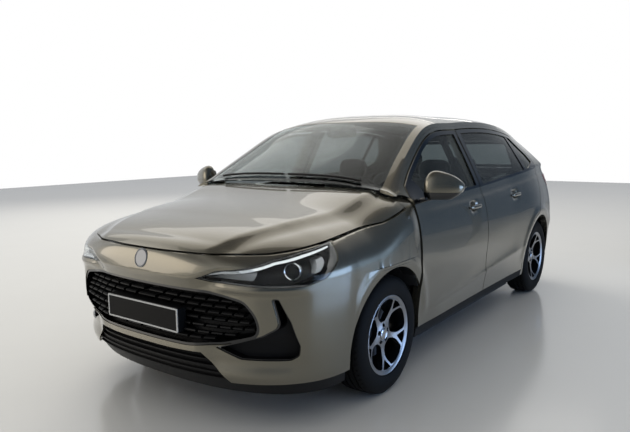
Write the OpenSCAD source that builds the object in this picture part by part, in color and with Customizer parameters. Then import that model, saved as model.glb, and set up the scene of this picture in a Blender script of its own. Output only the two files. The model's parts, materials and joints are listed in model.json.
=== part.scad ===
// Five-door hatchback car. X forward, Y to the car's left, Z up, millimetres.
// The origin is on the ground, halfway along the car's length.

/* [Body] */
// Length of the body over the bumpers
body_l = 4110; // [3950:5:4250]
// Width of the body over the wings, without the mirrors
body_w = 1796; // [1760:2:1860]
// Height of the roof above the ground
body_h = 1500; // [1460:5:1560]
// Distance from the front axle to the nose
front_overhang = 890; // [850:5:940]
// Thickness of the bonnet and roof panels
panel_t = 22; // [16:1:30]
// Thickness of a whole door or side wall
door_t = 60; // [45:1:75]
// Thickness of the bumper covers
cover_t = 14; // [10:1:20]
// Gap round the doors, bonnet and tailgate
shut_gap = 8; // [7:0.5:10]
// Thickness of the glass
glass_t = 5; // [4:0.5:7]
/* [Running gear] */
// Distance between the axles
wheelbase = 2570; // [2500:5:2640]
// Distance between the tyre centres on one axle
track = 1540; // [1500:5:1560]
// Outer radius of the tyres
tyre_r = 310; // [300:1:320]
// Width of the tyres
tyre_w = 195; // [185:1:205]
// Radius of the rim's bead seat
rim_r = 203; // [195:1:210]
// Radius of the wheel arch opening
arch_r = 362; // [355:1:375]
// Radius of the brake discs
disc_r = 130; // [120:1:140]
// Ground clearance under the floor
clearance = 150; // [135:1:170]
/* [Cabin] */
// Height of the front seat cushions above the floor
seat_h = 300; // [270:5:330]
// Width of one front seat
seat_w = 500; // [460:5:520]
// Radius of the steering wheel
steer_r = 182; // [170:1:190]
/* [Hidden] */
$fn = 48;

paint = [0.62, 0.59, 0.53];
black = [0.06, 0.06, 0.07];
dark = [0.2, 0.2, 0.22];
steel = [0.55, 0.56, 0.58];
glass = [0.25, 0.3, 0.32, 0.5];

nose_x = body_l / 2;
tail_x = -body_l / 2;
front_x = nose_x - front_overhang;
rear_x = front_x - wheelbase;
half_w = body_w / 2;
wheel_y = track / 2;
// Plan stations where the sides start to turn into the nose and the tail
corner_f = front_x + 330;
corner_r = rear_x - 300;
// The nose and tail turn in plan as superellipses of this power
plan_power = 2.5;
// Height of the line on which the sides are widest and the bonnet's curve starts
waist_z = 690;
// Front edge, division and rear edge of the doors
door_front_x = front_x - 320;
b_pillar_x = door_front_x - 1030;
door_rear_x = rear_x + 60;
door_bottom_z = 265;
sill_z = 215;
cowl_x = front_x - 150;
// Lower edge of the front cover
skirt_z = 225;
// Radius of the rear door's edge round the wheel arch
door_arc = arch_r + 36;
// Widths of the window frame, the window posts, the hinge pillar and the windscreen pillar
frame_w = 26;
post_w = 62;
pillar_w = 60;
a_post_w = 52;
header_x = door_front_x - 590;
// Rear edge of the roof panel
roof_end_x = rear_x - 150;
// The door hinge pins lie this far behind the door's front edge and inside its widest point
hinge_back = 60;
hinge_in = 18;
// Heights of the two hinges of a door, and the hinge pin
hinge_z = [480, 780];
pin_r = 4;
// Inner faces of the sill boxes, and the top of the floor
sill_y = 690;
floor_z = clearance + 45;
// Radius and inner wall of the wheelhouses
house_r = arch_r + 6;
house_y = 470;
boot_z = 560;

function lerp(a, b, t) = a + (b - a) * t;
function clamp(v, lo, hi) = min(max(v, lo), hi);
function secant(p, i) = (p[i + 1][1] - p[i][1]) / (p[i + 1][0] - p[i][0]);
function slope(p, i) = i == 0 ? secant(p, 0)
    : i == len(p) - 1 ? secant(p, i - 1)
    : let (a = p[i][0] - p[i - 1][0], b = p[i + 1][0] - p[i][0])
        (secant(p, i - 1) * b + secant(p, i) * a) / (a + b);
function span(p, x, i = 0) = i >= len(p) - 2 || x < p[i + 1][0] ? i : span(p, x, i + 1);
// Smooth curve through points [x, value], x rising
function curve(p, x) = let (i = span(p, x), h = p[i + 1][0] - p[i][0],
    t = clamp((x - p[i][0]) / h, 0, 1), u = 1 - t)
    p[i][1] * u * u * (1 + 2 * t) + p[i + 1][1] * t * t * (3 - 2 * t)
    + h * t * u * (slope(p, i) * u - slope(p, i + 1) * t);

// Half width of the sides at the waist
plan_line = [[tail_x, half_w - 40], [rear_x - 320, half_w - 22], [rear_x, half_w - 2],
    [rear_x + 700, half_w - 14], [door_front_x - 700, half_w - 18], [front_x - 450, half_w - 12],
    [front_x, half_w], [corner_f, half_w - 16], [nose_x, half_w - 30]];
// How far the sides lie inside the waist line at each height
inset_line = [[150, 62], [250, 34], [330, 26], [460, 14], [600, 2], [690, 0], [790, 8],
    [880, 26], [960, 52], [1060, 86]];
// Height of the window line and the roof rail
belt_line = [[tail_x, 1120], [rear_x, 1075], [b_pillar_x, 1005], [door_front_x, 975], [front_x, 960]];
rail_z_line = [[tail_x, body_h - 330], [rear_x - 330, body_h - 195], [rear_x, body_h - 122],
    [b_pillar_x, body_h - 68], [door_front_x - 560, body_h - 115], [door_front_x - 220, body_h - 285],
    [door_front_x + 90, body_h - 465]];
rail_y_line = [[tail_x, 500], [rear_x - 330, 545], [rear_x, 575], [b_pillar_x, 592],
    [door_front_x - 560, 606], [door_front_x - 220, 660], [door_front_x + 90, 730]];
// Centreline of the bonnet, the windscreen and the roof
bonnet_line = [[cowl_x - 200, 1062], [cowl_x, 1040], [front_x, 1010], [front_x + 450, 940],
    [nose_x - 150, 872], [nose_x - 62, 832], [nose_x - 18, 772], [nose_x, waist_z]];
roof_line = [[tail_x, body_h - 210], [rear_x - 400, body_h - 98], [rear_x, body_h - 42],
    [b_pillar_x - 250, body_h - 2.2], [door_front_x - 620, body_h - 48], [door_front_x - 300, body_h - 195],
    [cowl_x, body_h - 452], [front_x, body_h - 560]];
// Fore-and-aft profile of the nose below the waist, and of the tail
nose_line = [[150, nose_x - 95], [230, nose_x - 40], [330, nose_x - 12], [450, nose_x],
    [600, nose_x], [690, nose_x]];
tail_line = [[150, tail_x + 90], [260, tail_x + 34], [420, tail_x + 4], [600, tail_x + 8],
    [690, tail_x + 36], [900, tail_x + 62], [1020, tail_x + 92], [1160, tail_x + 170],
    [body_h - 200, tail_x + 252], [body_h - 100, tail_x + 330]];

function belt_z(x) = curve(belt_line, x);
function rail_z(x) = curve(rail_z_line, x);
function rail_y(x) = curve(rail_y_line, x);
function lower_y(x, z) = curve(plan_line, x) - curve(inset_line, z);
// Half width of the sides, up to the roof rail
function side_y(x, z) = let (b = belt_z(x), r = max(rail_z(x), b + 60), t = min((z - b) / (r - b), 1.04))
    t <= 0 ? lower_y(x, z)
    : lerp(lower_y(x, b), min(rail_y(x), lower_y(x, b)), t) + 22 * t * (1 - t);
function wrap(t) = [pow(cos(90 * t), 2 / plan_power), pow(sin(90 * t), 2 / plan_power)];
// Nose and tail: t runs from 0 on the centreline to 1 where the side begins
function nose_pt(t, z) = let (w = wrap(t))
    [lerp(corner_f, curve(nose_line, z), w[0]), side_y(corner_f, z) * w[1], z];
function tail_pt(t, z) = let (w = wrap(t))
    [lerp(corner_r, curve(tail_line, z), w[0]), side_y(corner_r, z) * w[1], z];
// Bonnet and wing tops: a superellipse section from the waist up to the centreline
function deck_w(x) = let (s = clamp((x - corner_f) / (nose_x - corner_f), 0, 1))
    lower_y(min(x, corner_f), waist_z) * pow(1 - pow(s, plan_power), 1 / plan_power);
// The section's power falls from the windscreen to the nose
function deck_power(x) = let (t = clamp((x - door_front_x - 60) / 420, 0, 1)) lerp(4.3, 2.6, t * t * (3 - 2 * t));
function deck_z(x, y) = let (s = clamp(abs(y) / max(deck_w(x), 1), 0, 1), p = deck_power(x))
    waist_z + (curve(bonnet_line, x) - waist_z) * pow(1 - pow(s, p), 1 / p);
// Near the door the section runs into the door's own surface
function meet_door(x, y, z) = let (b = clamp(1 - (x - door_front_x) / 130, 0, 1),
    w = b * b * (3 - 2 * b) * clamp((belt_z(x) + 10 - z) / 40, 0, 1))
    [x, y + (y < 0 ? -1 : 1) * w * (side_y(x, z) - abs(y)), z];
// Left front skin: s is 0 to 1 round the nose and then back along the side by s - 1 metres,
// r is 0 to 1 from the bottom up to the waist and then on over the deck, inwards by r - 1
function front_pt(s, r) = let (t = min(abs(s), 1), z = lerp(skirt_z, waist_z, min(r, 1)),
    x0 = corner_f - max(abs(s) - 1, 0) * 1000, k = pow(max(r - 1, 0), 2),
    p = t < 1 ? nose_pt(t, z) : [x0, lower_y(x0, z), z],
    x = lerp(p[0], min(p[0], corner_f), k), y = p[1] * (1 - k))
    r <= 1 ? [x, s < 0 ? -y : y, z] : meet_door(x, s < 0 ? -y : y, deck_z(x, y));
// Left rear skin: s is 0 to 1 along the side from x0 to the corner and 1 to 2 round the tail
function rear_pt(s, z, x0) = s <= 1 ? let (x = lerp(x0, corner_r, s)) [x, side_y(x, z), z] : tail_pt(2 - s, z);
// Roof and windscreen: v runs from -1 to 1 between the rails
roof_power = 3.2;
function roof_pt(x, v) = let (c = curve(roof_line, x), a = abs(v))
    [x, rail_y(x) * v, c - (c - rail_z(x)) * pow(a, roof_power)];

// Closed shell under a grid of points: it starts at a depth below them and is t thick
function grid_n(g, i, j) = let (m = len(g) - 1, n = len(g[0]) - 1,
    a = g[min(i + 1, m)][j] - g[max(i - 1, 0)][j], b = g[i][min(j + 1, n)] - g[i][max(j - 1, 0)],
    c = cross(a, b)) c / max(norm(c), 1e-6);
module shell(g, t, depth = 0) slab(sunk(g, depth), sunk(g, depth + t));
// Closed solid between an outer and an inner grid of points
module slab(g, h) {
    m = len(g);
    n = len(g[0]);
    k = m * n;
    quads = [for (i = [0:m - 2], j = [0:n - 2]) let (a = i * n + j) [a, a + 1, a + n + 1, a + n]];
    rim = concat([for (i = [0:m - 2]) [i * n, i * n + n]], [for (j = [0:n - 2]) [(m - 1) * n + j, (m - 1) * n + j + 1]],
        [for (i = [m - 1:-1:1]) [i * n + n - 1, i * n - 1]], [for (j = [n - 1:-1:1]) [j, j - 1]]);
    polyhedron(concat([for (r = g) each r], [for (r = h) each r]), concat(
        [for (q = quads) [q[0], q[1], q[2]]], [for (q = quads) [q[0], q[2], q[3]]],
        [for (q = quads) [q[2] + k, q[1] + k, q[0] + k]], [for (q = quads) [q[3] + k, q[2] + k, q[0] + k]],
        [for (e = rim) [e[0], e[0] + k, e[1] + k]], [for (e = rim) [e[0], e[1] + k, e[1]]]));
}
function sunk(g, d) = [for (i = [0:len(g) - 1]) [for (j = [0:len(g[0]) - 1]) g[i][j] - d * grid_n(g, i, j)]];
function steps(a, b, n) = [for (i = [0:n]) lerp(a, b, i / n)];

// Skins of the left side, the nose, the deck, the roof and the tail, between given limits
module side_skin(x0, x1, z0, z1, t, depth = 0, nx = 12, nz = 12)
    shell([for (z = steps(z0, z1, nz)) [for (x = steps(x0, x1, nx)) [x, side_y(x, z), z]]], t, depth);
module front_skin(s0, s1, r0, r1, t, depth = 0, ns = 12, nr = 10)
    shell([for (r = steps(r0, r1, nr)) [for (s = steps(s1, s0, ns)) front_pt(s, r)]], t, depth);
function bonnet_grid(x0, x1, nx, ny) = [for (v = steps(-1, 1, ny)) [for (x = steps(x1, x0, nx))
    let (y = sin(90 * v) * deck_w(x) * 0.995) meet_door(x, y, deck_z(x, y))]];
module bonnet_skin(x0, x1, t, depth = 0, nx = 14, ny = 16) shell(bonnet_grid(x0, x1, nx, ny), t, depth);
module roof_skin(x0, x1, t, depth = 0, v = 1, nx = 14, ny = 10)
    shell([for (w = steps(-v, v, ny)) [for (x = steps(x1, x0, nx)) roof_pt(x, w)]], t, depth);
module rear_skin(x0, s0, s1, z0, z1, t, depth = 0, ns = 14, nz = 14)
    shell([for (z = steps(z0, z1, nz)) [for (s = steps(s1, s0, ns)) rear_pt(s, z, x0)]], t, depth);
function tail_grid(z0, z1, w, nt, nz) = [for (z = steps(z0, z1, nz)) [for (v = steps(-w, w, nt)) let (p = tail_pt(abs(v), z))
    [p[0], v < 0 ? -p[1] : p[1], z]]];
module tail_skin(z0, z1, t, depth = 0, w = 1, nt = 16, nz = 12) shell(tail_grid(z0, z1, w, nt, nz), t, depth);
// Roof with its edges turned down over the rails
rail_drop = 24;
function rail_edge(x, sy) = let (z = rail_z(x) - rail_drop) [x, sy * side_y(x, z), z];
function roof_grid(x0, x1, nx, ny) = let (xs = steps(x1, x0, nx)) concat([[for (x = xs) rail_edge(x, -1)]],
    [for (w = steps(-1, 1, ny)) [for (x = xs) roof_pt(x, w)]], [[for (x = xs) rail_edge(x, 1)]]);
module roof_shell(x0, x1, nx = 18, ny = 10, t = panel_t) let (g = roof_grid(x0, x1, nx, ny), m = len(g) - 1)
    slab(g, [for (i = [0:m]) let (e = i <= 1 || i >= m - 1 ? (i < m / 2 ? 1 : -1) : 0, d = i == 0 || i == m ? 0 : e == 0 ? t : 0.75 * t)
        [for (q = g[i]) [q[0], q[1] + e * (i == 0 || i == m ? t : 0.75 * t), q[2] - d]]]);
// Prisms of an outline drawn in side view, front view or plan
module side_prism(y0 = 250, y1 = 1000) rotate([90, 0, 0]) translate([0, 0, -y1]) linear_extrude(y1 - y0) children();
module front_prism(x0, x1) translate([x0, 0, 0]) rotate([90, 0, 90]) linear_extrude(x1 - x0) children();
module both_sides() {
    children();
    mirror([0, 1, 0]) children();
}

// Outlines in side view
door_top = 52;
// The door frames stand further apart at the top, because the front door's frame swings back as it opens
frame_lean = 15;
function rail_pts(x0, x1, n, drop) = [for (x = steps(x0, x1, n)) [x, rail_z(x) - drop]];
rear_edge = [[rear_x - 130, 1165], [rear_x - 62, 960], [rear_x + 12, 790],
    for (a = [80:-16:0]) [rear_x + door_arc * cos(a), tyre_r + door_arc * sin(a)],
    [rear_x + door_arc - 4, door_bottom_z]];
module front_door_outline(grow = 0) offset(delta = grow) polygon(concat(
    [[b_pillar_x + shut_gap / 2, door_bottom_z], [door_front_x - 14, door_bottom_z], [door_front_x, door_bottom_z + 90]],
    [[door_front_x, belt_z(door_front_x) + 30]], rail_pts(door_front_x - 30, b_pillar_x + shut_gap / 2 + frame_lean, 8, door_top),
    [[b_pillar_x + shut_gap / 2, 990]]));
module rear_door_outline(grow = 0) offset(delta = grow) polygon(concat(
    [[b_pillar_x - shut_gap / 2, door_bottom_z]], rail_pts(b_pillar_x - shut_gap / 2, rear_x + 40, 6, door_top), rear_edge));
function window_top(x0, x1, n) = rail_pts(x0, x1, n, door_top + frame_w);
module front_window(grow = 0) offset(delta = grow) polygon(concat(
    [[b_pillar_x + post_w, belt_z(b_pillar_x)], [door_front_x - 70, belt_z(door_front_x) + 8]],
    window_top(door_front_x - 120, b_pillar_x + post_w, 7)));
module rear_window(grow = 0) offset(delta = grow) polygon(concat(
    [[b_pillar_x - post_w, belt_z(b_pillar_x)]], window_top(b_pillar_x - post_w, rear_x + 130, 6),
    [[rear_x - 40, 1185], [rear_x - 60, belt_z(rear_x) + 45], [rear_x + 120, belt_z(rear_x + 120) + 4]]));
module arch(x, r) translate([x, tyre_r]) circle(r, $fn = 64);

// Side wall round the doors: sill, roof rail and rear quarter
sill_out = 779.5;
module side_ring() difference() {
    intersection() {
        rear_skin(door_front_x + 90, 0, 1.93, sill_z, body_h - 60, door_t, ns = 26, nz = 16);
        translate([tail_x - 100, 0, 0]) cube([body_l, half_w + 50, body_h]);
    }
    side_prism(200) {
        front_door_outline(shut_gap);
        rear_door_outline(shut_gap);
        arch(rear_x, arch_r);
        translate([b_pillar_x - 14, sill_z + 60]) square([44, rail_z(b_pillar_x) - sill_z - 104]);
        polygon(concat(rail_pts(tail_x - 60, roof_end_x - 4, 6, 0), rail_pts(roof_end_x, cowl_x - 60, 18, rail_drop + 0.6),
            [[front_x, body_h + 100], [tail_x - 60, body_h + 100]]));
        polygon([[door_front_x + 4, 0], [front_x, 0], [front_x, 1040], [door_front_x + 40, 1012], [door_front_x + 4, 990]]);
    }
    bumper_zone(0.5);
    side_prism(200) arch(front_x, house_r + 6);
    tail_lamp_zone(0.5);
    tailgate_zone(shut_gap);
}
// Door hinge: a pin in the door with an arm that reaches round the door's edge to the pillar
module hinge(x, post_x) for (z = hinge_z) translate([x, lower_y(x, waist_z) - hinge_in, z]) {
    translate([0, 0, -50]) cylinder(r = pin_r, h = 100);
    translate([-7, -86, -18]) cube([14, 86, 36]);
    translate([-7, -86, -18]) cube([post_x - x + 7, 20, 36]);
}
module hinge_notch(x, edge_x) for (z = hinge_z) translate([x, lower_y(x, waist_z) - hinge_in, z]) {
    translate([-12, -150, -34]) cube([edge_x - x + 62, 157, 68]);
    translate([0, 0, -52]) cylinder(r = pin_r + 0.08, h = 104);
}
// Upright post that follows the side's section at depth d, from x0 to x1
module post(x0, x1, bottom, top, d, t) front_prism(x0, x1) let (x = (x0 + x1) / 2, zs = steps(bottom, top, 8))
    polygon(concat([for (z = zs) [inside_y(x, z, d), z]], [for (i = [8:-1:0]) [inside_y(x, zs[i], d) - t, zs[i]]]));
function inside_y(x, z, d) = side_y(x, z) - d * (z > belt_z(x) ? 1.36 : 1.03);
module body_side() color(paint) side_ring();
// Sill box, kick panel, hinge pillar and door post with the door hinges
module side_frame() {
    post(b_pillar_x + shut_gap / 2, b_pillar_x + 62, 160, rail_z(b_pillar_x) - 46, door_t + shut_gap + 5, 30);
    translate([b_pillar_x + 4, sill_y - 10, 157]) cube([58, 90, 66]);
    hinge(b_pillar_x - shut_gap / 2 - hinge_back, b_pillar_x + 20);
    translate([rear_x + house_r + 12, sill_y - 10, floor_z - 40]) cube([door_front_x - rear_x - house_r, sill_out - sill_y + 10, 70]);
    translate([front_x - house_r - 20, sill_y - 10, 200]) cube([130, 80, 640]);
    post(door_front_x + shut_gap + 1, door_front_x + 70, 300, 930, cover_t + 4, 110);
    hinge(door_front_x - hinge_back, door_front_x + 20);
}
module bumper_zone_outline() polygon([[tail_x - 200, 100], [rear_x - 100, 100], [rear_x - arch_r * 0.86, tyre_r + arch_r * 0.62],
    [corner_r, 690], [tail_x - 200, 690]]);
module bumper_zone(grow = 0) side_prism(0) offset(delta = grow) bumper_zone_outline();
module tailgate_zone(grow = 0) front_prism(tail_x - 100, roof_end_x + 0.5) offset(delta = grow)
    polygon([[-470, 640], [470, 640], [600, 800], [600, 1010], [545, body_h - 320], [520, body_h], [-520, body_h], [-545, body_h - 320],
        [-600, 1010], [-600, 800]]);
module tail_lamp_outline(grow = 0) offset(delta = grow)
    polygon([[corner_r + 20, 1000], [tail_x - 100, 1030], [tail_x - 100, 880], [corner_r - 40, 900]]);
module tail_lamp_zone(grow = 0) side_prism(0) tail_lamp_outline(grow);

// Welded floor with tunnel, wheelhouses, bulkhead, inner wings, boot floor and rear panel
module wheelhouse(x, y0, y1, r) translate([x, y0, tyre_r]) rotate([-90, 0, 0]) cylinder(r = r, h = y1 - y0, $fn = 64);
module underbody() color(dark) difference() {
    floor_front = front_x - house_r - 20;
    floor_rear = rear_x + house_r + 20;
    union() {
        // Floor and tunnel, heel board
        difference() {
            union() {
                translate([floor_rear - 60, -sill_y + 0.1, clearance]) cube([floor_front - floor_rear + 80, 2 * sill_y - 0.2, floor_z - clearance]);
                translate([floor_rear - 20, -110, clearance]) cube([floor_front - floor_rear + 30, 220, 190]);
            }
            translate([floor_rear - 100, -85, clearance - 10]) cube([floor_front - floor_rear + 300, 170, 170]);
        }
        translate([floor_rear - 60, -sill_y + 0.1, clearance]) cube([20, 2 * sill_y - 0.2, 400]);
        // Bulkhead, inner wings and front panel
        translate([floor_front, -sill_y + 0.1, clearance]) cube([20, 2 * sill_y - 0.2, 860 - clearance]);
        difference() {
            translate([floor_front, -sill_y + 0.1, 560]) cube([nose_x - 395 - floor_front, 2 * sill_y - 0.2, 230]);
            translate([floor_front + 15, -house_y, 500]) cube([nose_x - 425 - floor_front, 2 * house_y, 400]);
        }
        both_sides() wheelhouse(front_x, house_y, 800, house_r + 4);
        // Boot floor, rear panel and rear wheelhouses
        difference() {
            translate([tail_x + 90, -house_y - 60, 330]) cube([floor_rear - tail_x - 150, 2 * house_y + 120, 220]);
            translate([tail_x + 100, -house_y - 30, 300]) cube([floor_rear - tail_x - 190, 2 * house_y + 60, 235]);
        }
        both_sides() wheelhouse(rear_x, house_y, 794, house_r + 12);
        bonnet_stops();
        tailgate_stop();
        both_sides() {
            side_frame();
            strut_mount();
        }
    }
    both_sides() {
        wheelhouse(rear_x, house_y + 12, half_w + 2, house_r);
        wheelhouse(front_x, house_y + 12, half_w + 2, house_r);
        for (x = [rear_x, front_x]) translate([x - 500, 200, -100]) cube([1000, 1000, 200 + clearance]);
        translate([front_x - 420, 745, 0]) cube([120, 200, 470]);
        translate([rear_x + 100, 0, 0]) cube([130, 620, 326]);
    }
}
// Rubber stops that the closed bonnet and tailgate rest on
module bonnet_stops() difference() {
    both_sides() for (x = [front_x - 20, nose_x - 505]) translate([x, 560, 700]) cylinder(r = 14, h = 300);
    slab([for (g = bonnet_grid(cowl_x - 60, nose_x - 30, 12, 12)) [for (q = g) q + [0, 0, 200]]],
        sunk(bonnet_grid(cowl_x - 60, nose_x - 30, 12, 12), panel_t + 0.3));
}
module tailgate_stop() difference() {
    translate([tail_x + 20, -40, 540]) cube([90, 80, 170]);
    slab([for (g = tail_grid(560, 800, 0.4, 4, 4)) [for (q = g) q - [200, 0, 0]]], sunk(tail_grid(560, 800, 0.4, 4, 4), 46.4));
}
module roof() color(paint) difference() {
    roof_shell(roof_end_x, cowl_x - 60);
    linear_extrude(body_h + 50) windscreen_outline(0.4);
}
module windscreen_outline(grow = 0) offset(delta = grow) polygon([
    for (x = steps(cowl_x - 40, header_x, 6)) [x, rail_y(x) - a_post_w],
    for (x = steps(header_x, cowl_x - 40, 6)) [x, a_post_w - rail_y(x)]]);
module windscreen() color(glass) intersection() {
    roof_skin(header_x - 40, cowl_x - 20, glass_t, nx = 10);
    linear_extrude(body_h + 50) windscreen_outline();
}
module bonnet_outline() polygon([[door_front_x + 60, 1300], [door_front_x + 60, 968], [front_x, 900],
    [corner_f + 60, 860], [nose_x - 200, 826], [nose_x + 40, 815], [nose_x + 40, 1300]]);
module bonnet() color(paint) intersection() {
    bonnet_skin(cowl_x - 60, nose_x - 30, panel_t, nx = 18, ny = 20);
    side_prism(-1000) bonnet_outline();
}
module lamp_outline(grow = 0) offset(delta = grow)
    polygon([[nose_x - 25, 712], [nose_x - 60, 748], [corner_f + 250, 812], [corner_f + 70, 846], [corner_f + 120, 760],
        [corner_f + 260, 680], [nose_x - 130, 682]]);
module fender() color(paint) difference() {
    union() {
        intersection() {
            front_skin(0.6, 1.62, 0.1, 1.7, cover_t, ns = 14, nr = 16);
            side_prism(0) polygon([[door_front_x + shut_gap, sill_z], [front_x - 300, sill_z], [front_x, 640],
                [front_x + 250, 640], [corner_f + 95, 700], [corner_f + 60, 846], [front_x, 892],
                [door_front_x + shut_gap, 955]]);
        }
    }
    side_prism() arch(front_x, arch_r);
}
// The front cover's rows and bays, shared by what lies close behind it
row = 1.45 / 14;
bay = 1.2 / 18;
module front_bumper() color(paint) difference() {
    front_skin(-18 * bay, 18 * bay, 0, 14 * row, cover_t, ns = 36, nr = 14);
    both_sides() {
        side_prism(0) arch(front_x, arch_r);
        side_prism(0) lamp_outline(0.5);
        side_prism(0) polygon([[corner_f + 95.5, 699.5], [front_x + 250, 639.5], [front_x, 639.5], [front_x, 1000], [corner_f + 60, 1000],
            [nose_x + 50, 1000], [nose_x + 50, 807], [nose_x - 200, 818], [corner_f + 60, 852]]);
    }
    grille_zone();
    both_sides() air_curtain();
}
// L-shaped air inlet outboard of the lower winglet, seen from the front
module air_curtain(grow = 0) front_prism(corner_f, nose_x + 100) offset(delta = grow)
    polygon([[660, 292], [770, 318], [792, 380], [792, 462], [748, 468], [728, 392], [650, 348]]);
module grille_zone(grow = 0) front_prism(corner_f, nose_x + 100) offset(delta = grow)
    polygon([[-560, 560], [-480, 625], [480, 625], [560, 560], [640, 430], [540, 360], [-540, 360], [-640, 430]]);
// Slots between the bars, left out behind the number plate
module grille_slots() front_prism(corner_f, nose_x + 100) difference() {
    for (i = [0:4], y = [-560:228:400]) translate([y + (i % 2) * 60, 378 + i * 48]) square([180, 24]);
    translate([-290, 372]) square([580, 126]);
    difference() {
        square([2000, 2000], center = true);
        polygon([[-510, 560], [-450, 610], [450, 610], [510, 560], [585, 440], [500, 374], [-500, 374], [-585, 440]]);
    }
}
module grille() color(black) {
    difference() {
        intersection() {
            front_skin(-0.8, 0.8, 2 * row, 9 * row, 20, cover_t + 0.5, ns = 24, nr = 7);
            grille_zone(20);
        }
        grille_slots();
    }
    both_sides() intersection() {
        front_skin(4 * bay, 17 * bay, 0, 6 * row, 14, cover_t + 0.5, ns = 13, nr = 6);
        air_curtain(10);
    }
}
module skirts() color(black) {
    intersection() {
        front_skin(-0.95, 0.95, -0.2, 0.1, 20, 2, ns = 20, nr = 4);
        translate([0, -800, 160]) cube([3000, 1600, skirt_z - 160.3]);
    }
    intersection() {
        tail_skin(190, 330, cover_t, 2, 0.95, nz = 4);
        translate([-3000, -800, 200]) cube([3000, 1600, 99.7]);
    }
}
module rear_bumper() color(paint) difference() {
    shell([for (z = steps(300, 689.6, 7)) [for (v = steps(-1.36, 1.36, 28)) let (p = abs(v) <= 1 ? tail_pt(abs(v), z)
        : [corner_r + (abs(v) - 1) * 1000, side_y(corner_r + (abs(v) - 1) * 1000, z)]) [p[0], v < 0 ? -p[1] : p[1], z]]], cover_t);
    both_sides() difference() {
        translate([tail_x, 0, 0]) cube([1000, 1000, 1000]);
        side_prism(-10, 1100) bumper_zone_outline();
    }
    both_sides() side_prism(0) arch(rear_x, arch_r);
    tailgate_zone(shut_gap);
}
module headlamp_units() color(dark) both_sides() intersection() {
    front_skin(0.2, 1.1, 0.85, 1.6, 60, glass_t + 0.4, ns = 12, nr = 10);
    side_prism(0) lamp_outline(-0.5);
}
module headlamp_lenses() color(glass) both_sides() intersection() {
    front_skin(0.2, 1.1, 0.85, 1.6, glass_t, 0, ns = 12, nr = 10);
    side_prism(0) lamp_outline();
}
module tail_lamps() color([0.7, 0.05, 0.06]) both_sides() difference() {
    intersection() {
        rear_skin(rear_x, 0.5, 1.95, 840, 1080, 40, 0, ns = 12, nz = 4);
        tail_lamp_zone();
    }
    tailgate_zone(shut_gap);
}
module tailgate() color(paint) {
    difference() {
        intersection() {
            tail_skin(600, 1430, 45, nz = 16);
            tailgate_zone();
            under_roof(12);
        }
        rear_glass_zone(0.4);
    }
    spoiler();
}
// Space below the roof surface, carried on to the spoiler's tip
module under_roof(drop) slab([for (w = steps(-1, 1, 10)) [for (x = steps(rear_x - 100, tail_x - 30, 8)) roof_pt(x, w) - [0, 0, drop]]],
    [for (w = steps(-1, 1, 10)) [for (x = steps(rear_x - 100, tail_x - 30, 8)) [x, rail_y(x) * w, 500]]]);
spoiler_x = tail_x + 250;
module spoiler() slab([for (w = steps(-0.93, 0.93, 12)) [for (x = steps(roof_end_x - shut_gap, spoiler_x, 6)) roof_pt(x, w)]],
    [for (w = steps(-0.93, 0.93, 12)) [for (x = steps(roof_end_x - shut_gap, spoiler_x, 6))
        roof_pt(x, w) - [0, 0, lerp(46, 14, (roof_end_x - x) / (roof_end_x - spoiler_x))]]]);
module rear_glass_zone(grow = 0) front_prism(tail_x - 100, rear_x - 250) offset(delta = grow)
    polygon([[-500, 1045], [500, 1045], [455, body_h - 200], [-455, body_h - 200]]);
module tailgate_glass() color(glass) intersection() {
    tail_skin(1000, body_h - 160, glass_t, nz = 6);
    rear_glass_zone();
}
module front_door() color(paint) intersection() {
    side_skin(b_pillar_x - 20, door_front_x + 20, sill_z, body_h - 60, door_t, nx = 12, nz = 16);
    side_prism() difference() {
        front_door_outline();
        front_window();
    }
}
// Handle bar with its feet in the door skin
module handle(x, z) translate([x, side_y(x, z), z]) {
    translate([-80, 6, -10]) cube([160, 16, 20]);
    for (a = [-80, 50]) translate([a, -12, -9]) cube([30, 22, 18]);
}
module door_with_hinges(edge_x) difference() {
    children();
    hinge_notch(edge_x - hinge_back, edge_x);
}
module rear_door() color(paint) intersection() {
    side_skin(rear_x - 160, b_pillar_x + 20, sill_z, body_h - 60, door_t, nx = 12, nz = 16);
    side_prism() difference() {
        rear_door_outline();
        rear_window();
    }
}
module front_glass() color(glass) intersection() {
    side_skin(b_pillar_x, door_front_x, 940, body_h - 60, glass_t, 6, nx = 8, nz = 6);
    side_prism() front_window(-0.4);
}
module rear_glass() color(glass) intersection() {
    side_skin(rear_x - 100, b_pillar_x, 940, body_h - 60, glass_t, 6, nx = 8, nz = 6);
    side_prism() rear_window(-0.4);
}
mirror_x = door_front_x - 120;
module mirror_head() color(paint) {
    y0 = side_y(mirror_x, 965);
    difference() {
        translate([mirror_x - 35, y0 - 30, 948]) cube([70, 80, 28]);
        side_skin(b_pillar_x - 20, door_front_x + 20, sill_z, body_h - 60, door_t + 20, -0.3, nx = 12, nz = 16);
    }
    translate([mirror_x - 20, y0 + 30, 950]) rotate([-25, 0, 0]) cube([50, 40, 90]);
    translate([mirror_x, y0 + 75, 1055]) hull() {
        sphere(r = 50, $fn = 24);
        translate([-8, 110, 4]) sphere(r = 55, $fn = 24);
    }
}
module dashboard() color(dark) difference() {
    translate([door_front_x - 330, -640, 700]) cube([front_x - house_r - 20.3 - door_front_x + 330, 1280, 240]);
    translate([door_front_x - 340, 120, 690]) cube([120, 460, 120]);
    translate(wheel_c) rotate([0, -65, 0]) translate([0, 0, -300]) cylinder(r = 32.3, h = 300);
}
wheel_c = [door_front_x - 440, 370, 860];
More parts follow.
